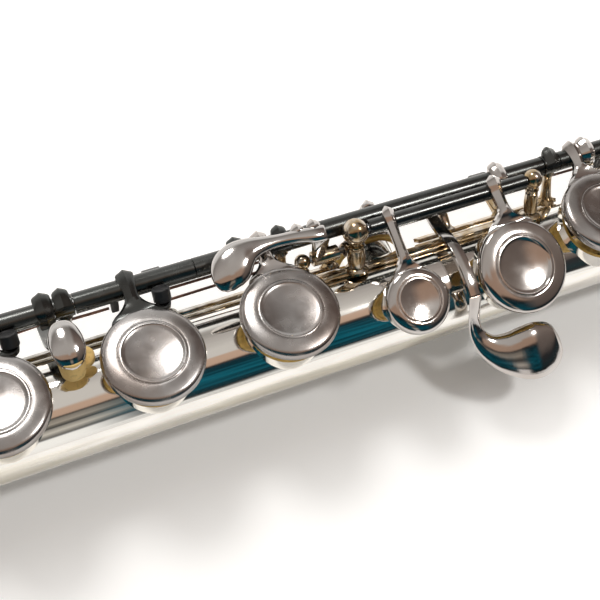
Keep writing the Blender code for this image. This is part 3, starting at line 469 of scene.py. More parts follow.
def worn_plate(name, base, smooth_value, rough_value, brown):
    """Plate with fine scratches, cloudy wear and a brown cast in places."""
    made, tree, principled = shader(name, base, 1.0, smooth_value)
    cloud = noise(tree, 120, 4)
    scratch = noise(tree, 1500, 2, (1, 0.12, 0.12))
    cast = ramp(tree, cloud, (0.40, 0.0), (0.66, brown))
    tint = mix(tree, cast, base, darker(base, 0.82, (1.0, 0.90, 0.84)))
    tree.links.new(tint, principled.inputs["Base Color"])
    haze = ramp(tree, noise(tree, 260, 5), (0.3, smooth_value), (0.75, rough_value))
    tree.links.new(haze, principled.inputs["Roughness"])
    bump(tree, principled, scratch, 0.06, 0.00005)
    return made


@once
def key():
    return worn_plate("key_plate", bpy.context.scene.flute_colours.key, 0.17, 0.34, 0.9)


@once
def bright():
    return worn_plate("bright_plate", bpy.context.scene.flute_colours.bright, 0.06, 0.16, 0.5)


@once
def dark():
    return worn_plate("dark_steel", bpy.context.scene.flute_colours.dark, 0.17, 0.32, 0.3)


@once
def tarnish_and_shade():
    """Plate tinted brown: partly tarnish in the corners that no cloth reaches, partly painted shade on
    parts that lie in shadow.
    """
    base = bpy.context.scene.flute_colours.silver
    brown = tuple(bpy.context.scene.flute_colours.tarnish_and_shade)
    made, tree, principled = shader("tarnish_and_shade_plate", base, 1.0, 0.14)
    # Darker and greyer towards the foot end.
    left = darker(brown, 0.45, (1, 1.25, 1.7))
    dulled = mix(tree, blend_range(tree, position(tree)["X"], -0.130, -0.112), left, brown)
    tint = mix(tree, ramp(tree, noise(tree, 420, 4), (0.33, 0.25), (0.55, 1.0)), darker(base, 0.7), dulled)
    tree.links.new(tint, principled.inputs["Base Color"])
    rough = ramp(tree, noise(tree, 700, 3), (0.3, 0.10), (0.8, 0.30))
    tree.links.new(rough, principled.inputs["Roughness"])
    return made


@once
def pad():
    """Pale skin over felt, slightly fibrous."""
    base = bpy.context.scene.flute_colours.pad
    made, tree, principled = shader("pad_skin", base, 0.0, 0.5, Subsurface_Weight=0.15)
    principled.inputs["Subsurface Radius"].default_value = (0.001, 0.0006, 0.0003)
    fibre = noise(tree, 900, 5, (0.4, 1, 1))
    tint = mix(tree, ramp(tree, fibre, (0.3, 0.0), (0.7, 1.0)), darker(base, 0.80), darker(base, 1.15))
    tree.links.new(tint, principled.inputs["Base Color"])
    bump(tree, principled, fibre, 0.25, 0.0001)
    return made


@once
def cork():
    """Fine-grained cork with darker pores."""
    base = bpy.context.scene.flute_colours.cork
    made, tree, principled = shader("cork", base, 0.0, 0.85)
    pores = ramp(tree, noise(tree, 1100, 6), (0.33, darker(base, 0.80)), (0.44, tuple(base)))
    broad = ramp(tree, noise(tree, 300, 3), (0.3, 0.86), (0.7, 1.06))
    tree.links.new(mix(tree, 1.0, pores, broad, "MULTIPLY"), principled.inputs["Base Color"])
    bump(tree, principled, noise(tree, 1400, 6), 0.5, 0.0001)
    return made


@once
def spring():
    made, tree, principled = shader("blued_spring", (0.20, 0.115, 0.09), 1.0, 0.3)
    tint = ramp(tree, noise(tree, 500, 2), (0.3, (0.10, 0.07, 0.07)), (0.7, (0.30, 0.17, 0.12)))
    tree.links.new(tint, principled.inputs["Base Color"])
    return made


@once
def steel():
    made, tree, principled = shader("rod_steel", (0.42, 0.42, 0.42), 1.0, 0.25)
    rough = ramp(tree, noise(tree, 900, 3, (0.05, 1, 1)), (0.3, 0.18), (0.7, 0.36))
    tree.links.new(rough, principled.inputs["Roughness"])
    return made


@once
def black():
    made, tree, principled = shader("blackened_screw", (0.012, 0.012, 0.013), 0.0, 0.38)
    rough = ramp(tree, noise(tree, 1200, 3), (0.3, 0.28), (0.7, 0.55))
    tree.links.new(rough, principled.inputs["Roughness"])
    return made


FINISHES = {"silver": silver, "key": key, "bright": bright, "dark": dark, "tarnish_and_shade": tarnish_and_shade, "pad": pad,
            "cork": cork, "spring": spring, "steel": steel, "black": black}


# Pieces that repeat -------------------------------------------------------------------------------

def cup(x, radius, dish, degrees=0.0):
    """Key cup: dished top inside a fine double ring, convex border and a thin side wall."""
    top = mm(sizes().cup_top)
    dip = 0.075 * dish
    profile = [(0, top - 0.16 - dip)]
    profile += [(dish * 0.93 * i / 9, top - 0.16 - dip * (1 - (i / 9) ** 2)) for i in range(1, 10)]
    profile += [(dish - 0.24, top - 0.02), (dish, top), (dish + 0.13, top - 0.05),
                (dish + 0.20, top - 0.17), (dish + 0.30, top - 0.17), (dish + 0.38, top - 0.09)]
    border = radius - dish - 1.0
    profile += [(dish + 0.45 + border * i / 5, top - 0.08 - 0.42 * (i / 5) ** 1.8) for i in range(6)]
    profile += [(radius - 0.24, top - 0.78), (radius - 0.08, top - 1.05), (radius, top - 1.4),
                (radius, 12.0), (radius - 0.06, 11.88), (radius - 0.3, 11.85), (radius - 0.5, 11.95),
                (radius - 0.5, 13.1), (0, 13.1)]
    return turned(shifted(lathe(profile, 72), x=x), degrees)


def arm(x, axis, radius, degrees=0.0, width=1.6, height=0.75, over=2.05):
    """Arm from behind a hinge tube to a cup, where its ridge parts into two prongs."""
    y, z = unturned(axis, degrees)
    side = math.copysign(1, y)
    y = abs(y)
    wide = radius * 0.535
    near = (y - 0.6 + radius + 1.9) / 2
    rows = [
        (y + 3.0, z + over - 0.9, 0.12, 0.1, 0.0, 0.3),
        (y + 2.1, z + over - 0.3, width * 0.98, height * 1.2, 0.0, 0.7),
        (y + 1.0, z + over, width, height * 1.3, 0.0, 1.0),
        (y - 0.6, z + over, width * 0.88, height * 1.2, 0.0, 1.0),
        (near, (z + over + 13.65) / 2, width * 0.78, height * 1.1, 0.0, 1.0),
        (radius + 2.2, 13.65, width * 0.92, height, 0.1, 1.0),
        (radius + 0.9, 13.45, wide * 0.50, height * 0.8, 0.8, 0.9),
        (radius - 0.2, 13.45, wide * 0.80, height * 0.6, 1.0, 0.8),
        (radius - 1.0, 13.55, wide * 0.96, height * 0.45, 1.0, 0.6),
        (radius - 1.5, 13.55, wide * 1.02, height * 0.25, 1.0, 0.4),
    ]
    stations = [(x, side * py, pz, w, h, f, d) for py, pz, w, h, f, d in rows]
    return turned(sweep(stations, ridge), degrees)


def pad_disc(x, radius, degrees=0.0):
    """Pad: a stuffed disc with the ring that its tone hole has pressed into it."""
    outer = radius - 0.56
    seat = radius * 0.82
    face = mm(sizes().rim_top) + 0.3
    profile = [(0, 12.95), (outer, 12.95), (outer + 0.04, face + 0.5), (outer - 0.12, face + 0.12),
               (outer - 0.4, face), (seat + 0.4, face), (seat, face + 0.14), (seat - 0.4, face),
               (seat * 0.4, face), (0, face)]
    return turned(shifted(lathe(profile, 56), x=x), degrees)


def hinge_barrel(low, high, axis, radius, bore):
    """Hinge tube with broken edges."""
    return pipe(radius, bore, low, high, axis, 40, 0.08)


def strap(low, high, degrees, half):
    """Curved strap laid along the tube, its long edges softened."""
    inner = mm(sizes().tube_radius) + 0.3
    outer = inner + 0.9
    steps = 10
    bm = bmesh.new()
    angles = [math.radians(degrees - half + 2 * half * i / steps) for i in range(steps + 1)]
    outline = [(outer * math.sin(a), outer * math.cos(a)) for a in angles]
    outline += [(inner * math.sin(a), inner * math.cos(a)) for a in angles[::-1]]
    face = bm.faces.new([bm.verts.new((low, y, z)) for y, z in outline])
    grown = bmesh.ops.extrude_face_region(bm, geom=[face])
    bmesh.ops.translate(bm, vec=(high - low, 0, 0),
                        verts=[v for v in grown["geom"] if isinstance(v, bmesh.types.BMVert)])
    bmesh.ops.recalc_face_normals(bm, faces=bm.faces)
    corners = [e for e in bm.edges if e.is_manifold and e.calc_face_angle(0) > 1.0]
    bmesh.ops.bevel(bm, geom=corners, offset=0.18, segments=2, profile=0.5, affect="EDGES",
                    material=-1)
    return bm


def on_tube(degrees, radius):
    return radius * math.sin(math.radians(degrees)), radius * math.cos(math.radians(degrees))


def post(x, axis, head, bore, degrees):
    """Pillar with a stepped foot and a bored barrel head."""
    foot = (x, *on_tube(degrees, mm(sizes().tube_radius) + 0.6))
    length = (Vector((x, *axis)) - Vector(foot)).length
    profile = [(0, 0.0), (1.9, 0.0), (1.9, 0.7 / length), (1.5, 1.0 / length), (1.15, 1.5 / length),
               (0.95, 0.55), (1.0, 1 - (head + 0.9) / length), (1.45, 1 - (head + 0.2) / length),
               (1.2, 1 - head * 0.8 / length), (0, 1 - head * 0.8 / length)]
    return pillar(profile, foot, (x, *axis)), pipe(head, bore, x - 1.78, x + 1.78, axis, 36, 0.1)


def peak(x, width, rows_over=4):
    """Pointed ridge on the back of the main hinge line; with 7 rows it reaches over to the front."""
    y, z = MAIN
    rows = [(y + 3.2, z + 1.3, 0.12, 0.1, 0.3), (y + 2.3, z + 1.9, width, 0.8, 0.6),
            (y + 0.9, z + 2.15, width * 1.1, 0.8, 0.9), (y - 0.9, z + 1.95, width * 1.1, 0.7, 0.9),
            (y - 1.9, z + 1.1, width, 0.6, 0.7), (y - 2.3, z - 0.3, width, 0.5, 0.6),
            (y - 2.1, z - 1.6, width * 0.8, 0.3, 0.5)]
    return sweep([(x, py, pz, w, h, 0.0, d) for py, pz, w, h, d in rows[:rows_over]], ridge)


def ball_post(x, axis, radius, foot_radius=2.3):
    """Turned post: stepped foot, waisted stem, collar and polished ball."""
    degrees = math.degrees(math.atan2(*axis))
    height = math.hypot(*axis)
    base = mm(sizes().tube_radius) + 0.8
    neck = height - radius
    profile = [(0, height), (1.0, height), (1.35, neck + 0.2), (1.35, neck), (1.75, neck - 0.15),
               (1.8, neck - 0.4), (1.7, neck - 0.6), (1.3, neck - 0.75), (1.3, neck - 0.95),
               (1.6, neck - 1.2), (1.85, (neck + base) / 2), (1.7, base + 1.3), (1.35, base + 1.0),
               (1.9, base + 0.8), (foot_radius, base + 0.45), (foot_radius + 0.1, base), (0, base)]
    scaled = [(r * min(radius / 2.5, 1) if z > base + 0.9 else r, z) for r, z in profile]
    return turned(joined(shifted(lathe(scaled, 36), x=x), globe(radius, (x, 0, height))), degrees)


def wire(radius):
    return [(radius * math.cos(a), radius * math.sin(a)) for a in (math.tau * i / 8 for i in range(8))]


def needle(points):
    """Thin spring wire through a few points."""
    return sweep([(*point, mm(sizes().wire_radius)) for point in points], wire)


def cut(target, cutter, operation):
    """Mesh boolean of two bmeshes; both are used up."""
    objects = []
    for shape in (target, cutter):
        mesh = bpy.data.meshes.new("cut")
        shape.to_mesh(mesh)
        shape.free()
        objects.append(bpy.data.objects.new("cut", mesh))
        bpy.context.scene.collection.objects.link(objects[-1])
    modifier = objects[0].modifiers.new("cut", "BOOLEAN")
    modifier.operation = operation
    modifier.object = objects[1]
    bpy.context.view_layer.update()
    graph = bpy.context.evaluated_depsgraph_get()
    result = bmesh.new()
    result.from_object(objects[0], graph)
    for obj in objects:
        mesh = obj.data
        bpy.data.objects.remove(obj)
        bpy.data.meshes.remove(mesh)
    return result


def column(radius, x, degrees, low, high):
    """Upright column through the wall of the tube."""
    profile = [(0, high), (radius, high), (radius, low), (0, low)]
    return turned(shifted(lathe(profile, 56), x=x), degrees)


def drawn_tube(low, high, holes):
    """Tube with a short chimney round each (x, degrees, radius) tone hole."""
    outer, top = mm(sizes().tube_radius), mm(sizes().rim_top)
    tube = rod(outer, low, high, steps=FINE, edge=0.08)
    chimneys = joined(*[column(r, x, turn, 4.0, top) for x, turn, r in holes])
    tube = cut(tube, chimneys, "UNION")
    bores = joined(*[column(r - 0.6, x, turn, 3.0, top + 2) for x, turn, r in holes])
    tube = cut(tube, rod(outer - TUBE_WALL, low - 1, high + 1, steps=FINE), "DIFFERENCE")
    return cut(tube, bores, "DIFFERENCE")


# Operators, one for each piece or group of like pieces --------------------------------------------

class FLUTE_OT_tubes(bpy.types.Operator):
    """Body tube, barrel and foot tube, with their drawn tone holes and rings"""

    bl_idname = "flute.tubes"
    bl_label = "Tubes"

    def execute(self, context):
        large = 8.0
        holes = [(hole_x(name), 0, large) for name in
                 ("d_pad", "e_pad", "f_pad", "f_sharp_pad", "a_pad", "b_flat_pad")]
        holes += [(hole_x("g_sharp_pad"), BACK_TURN, 6.4), (hole_x("g_twin_pad"), OFFSET_TURN, 5.2),
                  (hole_x("g_pad"), OFFSET_TURN, large), (C_X, BACK_TURN, 7.2),
                  (hole_x("c_sharp_pad"), 0, 4.4), (hole_x("trill_d_pad"), BACK_TURN, 4.4),
                  (hole_x("trill_e_flat_pad"), BACK_TURN, 4.4)]
        settle(drawn_tube(*reach("body_tube"), holes), "body_tube_skin", "flute_body", "silver",
               "body_tube")
        low, high = reach("barrel")
        inner, ring = 10.15, 11.6
        side = [(inner, high), (ring - 0.2, high), (ring, high - 0.2), (ring, high - 0.7),
                (ring - 0.25, high - 1.0), (ring, high - 1.3), (ring, high - 2.6),
                (ring - 0.3, high - 2.9), (11.0, high - 3.4)]
        profile = side + [(r, low + high - x) for r, x in side[::-1]]
        settle(along_x(lathe(profile, FINE, loop=True)), "barrel_skin", "flute_body", "silver", "barrel")
        low, mouth = reach("foot_tube")
        end = reach("body_tube")[0] - 0.3
        holes = [(hole_x(name), 0, large) for name in ("e_flat_pad", "low_c_sharp_pad", "low_c_pad")]
        sleeve = [(10.15, mouth), (11.0, mouth), (11.2, mouth - 0.2), (11.2, mouth - 1.8),
                  (10.9, mouth - 2.1), (10.7, mouth - 2.4), (10.7, end - 1.0), (10.4, end - 1.3),
                  (9.7, end - 1.3), (9.7, end), (10.15, end)]
        ring = [(9.6, low + 3), (10.2, low + 3), (10.5, low + 2.7), (10.5, low + 0.3), (10.2, low),
                (9.6, low)]
        foot = joined(drawn_tube(low, end, holes), along_x(lathe(sleeve, FINE, loop=True)),
                      along_x(lathe(ring, FINE, loop=True)))
        settle(foot, "foot_tube_skin", "foot_joint", "silver", "foot_tube")
        return {"FINISHED"}


class FLUTE_OT_ribs(bpy.types.Operator):
    """Straps soldered along the tube, with their posts"""

    bl_idname = "flute.ribs"
    bl_label = "Ribs and posts"

    def execute(self, context):
        main, guide, slim, foot = (2.03, MAIN_BORE), (1.95, 1.65), (1.9, SLIM_BORE), (2.12, SLIM_BORE)
        posts = {
            "right_hand_rib": ("flute_body", 62.5, 7, [
                (-202.4, MAIN, main), (-148.6, MAIN, main), (-106.5, MAIN, main),
                (-187.4, TRILL, slim), (-130.0, TRILL, guide), (-96.6, G_SHARP, slim)]),
            "left_hand_rib": ("flute_body", 62.5, 7, [
                (-69.9, G_SHARP, slim), (-57.0, TRILL, guide), (-46.0, MAIN, main)]),
            "top_rib": ("flute_body", 62.5, 7, [
                (39.2, MAIN, main), (24.0, TRILL, guide), (69.3, TRILL, slim)]),
            "thumb_rib": ("flute_body", 118.6, 6, [(10.8, THUMB, slim), (30.0, THUMB, slim)]),
            "foot_rib": ("foot_joint", 62.5, 7, [(-303.0, MAIN, foot), (-231.6, MAIN, foot)]),
            "e_flat_rib": ("foot_joint", -62, 6, [(-238.2, E_FLAT, slim), (-218.9, E_FLAT, slim)]),
        }
        for node, (body, degrees, half, standing) in posts.items():
            made = [post(x, axis, *head, degrees) for x, axis, head in standing]
            shapes = [strap(*reach(node), degrees, half)] + [stem for stem, head in made]
            # Ribs and post stems take the brown finish: partly tarnish, partly painted shade.
            settle(joined(*shapes), node + "_skin", body, "tarnish_and_shade", node)
            heads = [head for stem, head in made]
            heads += [peak(x, 1.35) for x, axis, head in standing if axis == MAIN]
            settle(joined(*heads), node + "_heads", body, "dark")
        low_ball, high_ball, side_ball = -92.7, -53.0, -103.0
        degrees = math.degrees(math.atan2(*OFFSET))
        # The offset rib and its ball posts take the same brown finish: partly tarnish, partly painted
        # shade.
        shapes = [strap(*reach("offset_rib"), 38.6, 4), ball_post(low_ball, OFFSET, 2.6),
                  ball_post(high_ball, OFFSET, 2.0), ball_post(side_ball, SIDE, 1.6, 1.2),
                  pillar([(0, 0), (1.0, 0), (0.8, 0.5), (1.0, 1), (0, 1)],
                         (low_ball, *on_tube(degrees, 14.2)), (low_ball, *SIDE)),
                  pipe(1.4, 0.9, low_ball - 1.6, low_ball + 0.8, SIDE)]
        settle(joined(*shapes), "offset_rib_skin", "flute_body", "tarnish_and_shade", "offset_rib")
        elsewhere = {"left_hand_rod": "b_flat_key", "e_flat_rod": "foot_joint"}
        for node in ("right_hand_rod", "left_hand_rod", "offset_rod", "side_lever_rod", "g_sharp_rod",
                     "thumb_rod", "e_flat_rod"):
            low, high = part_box(node)
            centre = ((low + high) / 2 - AXIS) / MM
            radius = (high.z - low.z) / 2 / MM
            if node == "left_hand_rod":
                centre.y, centre.z, radius = *MAIN, 0.95
            shape = rod(radius, *reach(node), (centre.y, centre.z))
            settle(shape, node + "_skin", elsewhere.get(node, "flute_body"), "steel", node)
        return {"FINISHED"}


# Ends of the hinge tube of each key on the main line
MAIN_TUBES = {"d": (-200.4, -181.45), "e": (-181.35, -150.55), "f": (-146.65, -123.95),
              "f_sharp": (-123.85, -108.5), "a": (-44.0, -30.85), "b_flat": (-30.75, -8.95),
              "c": (-8.85, 37.2)}


class FLUTE_OT_stack_keys(bpy.types.Operator):
    """Keys of the main line: hinge tube, arm, cup and pad of each"""

    bl_idname = "flute.stack_keys"
    bl_label = "Stack keys"

    def execute(self, context):
        radius, dish = mm(sizes().cup_radius), mm(sizes().dish_radius)
        tube = mm(sizes().hinge_radius)
        for name in ("d", "e", "f", "f_sharp", "a", "b_flat"):
            body, x = name + "_key", hole_x(name + "_pad")
            settle(cup(x, radius, dish), name + "_cup", body, "key", name + "_key")
            finish = "dark" if name in ("d", "e", "f") else "bright"
            settle(arm(x, MAIN, radius), name + "_arm", body, finish)
            settle(hinge_barrel(*MAIN_TUBES[name], MAIN, tube, MAIN_BORE), name + "_tube", body, "dark")
            settle(pad_disc(x, radius), name + "_pad_skin", body, "pad", name + "_pad")
        link = hinge_barrel(*reach("b_flat_link"), MAIN, tube, MAIN_BORE)
        settle(link, "b_flat_link_tube", "b_flat_key", "dark", "b_flat_link")
        return {"FINISHED"}


class FLUTE_OT_clutches(bpy.types.Operator):
    """Small pointed collars on the hinge tubes, adjusting screws and spring hooks"""

    bl_idname = "flute.clutches"
    bl_label = "Collars and screws"

    def execute(self, context):
        tube = mm(sizes().hinge_radius)
        for body, x, finish in (("e_key", -152.0, "dark"), ("f_sharp_key", -115.2, "dark"),
                                ("b_flat_key", -58.6, "bright"), ("a_key", -37.4, "bright")):
            collar = joined(peak(x, 1.5, 7), pipe(tube + 0.1, tube - 0.2, x - 1.3, x + 1.3, MAIN))
            settle(collar, body + "_collars", body, finish)
        for name in ("e", "f", "d"):
            body, x = name + "_key", hole_x(name + "_pad") + 5.2
            knob = [(0, 2.55), (1.2, 2.6), (1.3, 2.75), (1.55, 2.75), (1.68, 2.6), (1.68, 0.35), (1.5, 0.2),
                    (0, 0.2)]
            lug = [(x - 1.2, 8.4, 13.4, 1.0, 0.3, 0.6), (x, 9.4, 12.7, 1.3, 0.3, 0.6),
                   (x, 10.8, 12.2, 1.3, 0.3, 0.6), (x, 11.6, 12.1, 0.9, 0.3, 0.6)]
            screw = lathe(knob, 36)
            screw.transform(Matrix.Rotation(math.radians(-40), 4, "X"))
            settle(shifted(screw, x=x, y=9.9, z=12.4), body + "_screw", body, "black")
            settle(sweep(lug, strap_bar), body + "_screw_lug", body, "dark")
        for body, x in (("f_key", -139.6), ("e_key", -168.4), ("a_key", -33.6)):
            hook = at_x(x, (13.4, 11.2, 0.75, 0.3, 0.3), (13.1, 9.6, 0.75, 0.3, 0.3),
                        (12.9, 8.5, 0.7, 0.3, 0.3))
            settle(sweep(hook, strap_bar), body + "_spring_hook", body, "black")
        return {"FINISHED"}


class FLUTE_OT_springs(bpy.types.Operator):
    """Needle springs from the posts to the hooks of the keys"""

    bl_idname = "flute.springs"
    bl_label = "Needle springs"

    def execute(self, context):
        wires = [[(-148.6, 12.9, 9.8), (-144, 13.0, 9.3), (-140.6, 13.1, 9.0)],
                 [(-148.6, 13.6, 10.6), (-156, 13.4, 9.9), (-167.4, 13.1, 9.2)],
                 [(-106.5, 13.0, 9.9), (-118, 13.2, 9.7), (-131.5, 13.3, 9.4)],
                 [(-106.5, 11.9, 8.0), (-118, 11.9, 7.6), (-131.5, 11.9, 7.2)],
                 [(-46.0, 13.0, 9.8), (-40, 13.1, 9.4), (-34.6, 13.1, 9.1)],
                 [(-202.4, 13.0, 9.8), (-192, 13.0, 9.4), (-181.4, 13.1, 9.0)],
                 [(39.2, 13.0, 9.8), (24, 13.0, 9.4), (10, 13.1, 9.0)]]
        settle(joined(*[needle(points) for points in wires]), "needle_springs", "flute_body", "spring")
        return {"FINISHED"}


class FLUTE_OT_c_key(bpy.types.Operator):
    """C key with its finger touch and the small C sharp cup"""

    bl_idname = "flute.c_key"
    bl_label = "C key"

    def execute(self, context):
        x, touch_x = hole_x("c_sharp_pad"), -3.0
        tube = hinge_barrel(*MAIN_TUBES["c"], MAIN, mm(sizes().hinge_radius), MAIN_BORE)
        settle(tube, "c_tube", "c_key", "dark", "c_key")
        sharp_cup = joined(cup(x, SMALL_CUP, 3.5), arm(x, MAIN, SMALL_CUP, width=1.4, height=0.65))
        settle(sharp_cup, "c_sharp_cup", "c_key", "bright")
        touch = at_x(touch_x, (17.2, 13.2, 0.7, 0.4, 0.5), (15.9, 14.1, 1.5, 0.6, 0.7),
                     (13.6, 14.4, 1.5, 0.6, 0.7), (10.2, 14.5, 1.6, 0.6, 0.6), (7.4, 14.5, 2.4, 0.7, 0.6),
                     (4.8, 14.5, 3.9, 0.8, 0.6), (1.8, 14.4, 5.0, 0.8, 0.6), (-1.2, 14.2, 4.7, 0.7, 0.5),
                     (-3.4, 14.0, 3.0, 0.5, 0.4), (-4.4, 13.9, 0.8, 0.2, 0.2))
        settle(sweep(touch, dome), "c_touch", "c_key", "bright")
        settle(pad_disc(x, SMALL_CUP), "c_sharp_pad_skin", "c_key", "pad", "c_sharp_pad")
        return {"FINISHED"}


class FLUTE_OT_b_flat_lever(bpy.types.Operator):
    """Polished B flat side lever with its teardrop touch"""

    bl_idname = "flute.b_flat_lever"
    bl_label = "B flat lever"

    def execute(self, context):
        touch = [(-98.9, 12.6, 17.1, 1.5, 0.7, 0.7), (-99.4, 12.65, 17.1, 1.6, 0.9, 0.8),
                 (-101.4, 12.8, 17.2, 1.6, 0.95, 0.8), (-104.6, 13.3, 17.2, 1.35, 0.9, 0.8),
                 (-108.0, 13.6, 17.2, 1.25, 0.9, 0.8), (-111.2, 13.7, 17.3, 1.6, 0.9, 0.8),
                 (-113.8, 13.5, 17.3, 2.4, 1.1, 0.8), (-115.9, 12.8, 17.2, 3.3, 1.4, 0.8),
                 (-117.6, 11.7, 17.0, 3.75, 1.5, 0.8), (-118.9, 10.3, 16.8, 3.6, 1.4, 0.7),
                 (-119.8, 9.0, 16.6, 2.9, 1.1, 0.6), (-120.4, 7.8, 16.4, 1.6, 0.6, 0.4),
                 (-120.6, 7.3, 16.3, 0.4, 0.2, 0.2)]
        stem = [(-99.6, SIDE[0] - 0.2, SIDE[1] + 1.0, 1.7, 0.6, 0.6), (-99.9, 10.9, 13.4, 1.5, 0.6, 0.6),
                (-100.1, 11.6, 15.6, 1.4, 0.6, 0.6), (-100.2, 12.5, 16.9, 1.2, 0.5, 0.5)]
        lever = joined(sweep(touch, dome, 5), sweep(stem, strap_bar))
        settle(lever, "b_flat_touch", "b_flat_lever", "bright", "b_flat_lever")
        # This hinge tube takes the brown finish as painted shade, for it lies in shadow.
        settle(hinge_barrel(-101.0, -95.5, SIDE, 1.5, 0.9), "b_flat_lever_tube", "b_flat_lever", "tarnish_and_shade")
        for x in (-103.9, -100.6):
            fin = at_x(x, (13.2, 16.6, 0.5, 0.2, 0.0, 0.3), (14.0, 17.2, 1.3, 0.8, 0.0, 0.3),
                       (14.9, 17.3, 1.3, 0.9, 0.0, 0.3), (15.7, 16.9, 0.8, 0.5, 0.0, 0.3),
                       (16.2, 16.3, 0.15, 0.1, 0.0, 0.2))
            settle(sweep(fin, ridge), f"kicker_{abs(x):.0f}", "b_flat_lever", "bright")
        return {"FINISHED"}


class FLUTE_OT_g_key(bpy.types.Operator):
    """Offset G key: full cup and small cup on one hinge tube"""

    bl_idname = "flute.g_key"
    bl_label = "Offset G key"

    def execute(self, context):
        radius, small = mm(sizes().cup_radius), 6.5
        big_x, small_x = hole_x("g_pad"), hole_x("g_twin_pad")
        big_cup = cup(big_x, radius, mm(sizes().dish_radius), OFFSET_TURN)
        settle(big_cup, "g_cup", "g_key", "bright", "g_key")
        settle(cup(small_x, small, 4.18, OFFSET_TURN), "g_small_cup", "g_key", "bright")
        arms = joined(arm(big_x, OFFSET, radius, OFFSET_TURN, 1.45),
                      arm(small_x, OFFSET, small, OFFSET_TURN, 1.15, 0.65))
        settle(arms, "g_arms", "g_key", "bright")
        settle(hinge_barrel(-89.9, -55.1, OFFSET, SLIM_TUBE, MAIN_BORE), "g_tube", "g_key", "dark")
        settle(pad_disc(big_x, radius, OFFSET_TURN), "g_pad_skin", "g_key", "pad", "g_pad")
        settle(pad_disc(small_x, small, OFFSET_TURN), "g_twin_pad_skin", "g_key", "pad", "g_twin_pad")
        return {"FINISHED"}


class FLUTE_OT_g_sharp_key(bpy.types.Operator):
    """G sharp key: polished strap over the tube, swept touch in front, closed cup behind"""

    bl_idname = "flute.g_sharp_key"
    bl_label = "G sharp key"

    def execute(self, context):
        x, cup_x, radius = -73.4, hole_x("g_sharp_pad"), 7.8
        over = [(x, *on_tube(degrees, reach_out), width, 0.45, 0.6) for degrees, reach_out, width in (
            (60, 17.0, 1.1), (52, 14.6, 1.2), (40, 13.3, 1.25), (24, 13.0, 1.25), (8, 13.0, 1.25),
            (-8, 13.1, 1.25), (-20, 13.5, 1.3), (-29, 13.9, 1.35))]
        down = [(x, -6.9, 12.0, 1.35, 0.5, 0.6, 0), (x, -8.6, 9.6, 1.3, 0.5, 0.6, 0),
                (x + 0.1, -10.6, 6.7, 1.4, 0.6, 0.6, 0), (-72.8, -12.9, 4.6, 1.7, 0.8, 0.7, 0.1),
                (-71.2, -15.6, 3.6, 2.5, 1.1, 0.7, 0.25), (-68.4, -17.6, 3.1, 3.7, 1.6, 0.8, 0.35),
                (-65.2, -18.8, 3.0, 4.8, 2.1, 0.8, 0.4), (-61.9, -19.5, 3.0, 5.4, 2.3, 0.8, 0.4),
                (-59.0, -19.6, 2.9, 5.0, 2.0, 0.7, 0.4), (-57.0, -19.6, 2.8, 3.9, 1.4, 0.5, 0.4),
                (-55.9, -19.6, 2.8, 2.2, 0.7, 0.3, 0.3), (-55.6, -19.6, 2.8, 0.7, 0.2, 0.2, 0.2)]
        lever = joined(sweep(over, strap_bar), sweep(down, leaning_dome, 5),
                       arm(cup_x, G_SHARP, radius, BACK_TURN, 1.4), cup(cup_x, radius, 4.9, BACK_TURN),
                       hinge_barrel(-94.7, -71.8, G_SHARP, 1.5, SLIM_BORE))
        settle(lever, "g_sharp_lever", "g_sharp_key", "bright", "g_sharp_key")
        skin = pad_disc(cup_x, radius, BACK_TURN)
        settle(skin, "g_sharp_pad_skin", "g_sharp_key", "pad", "g_sharp_pad")
        return {"FINISHED"}


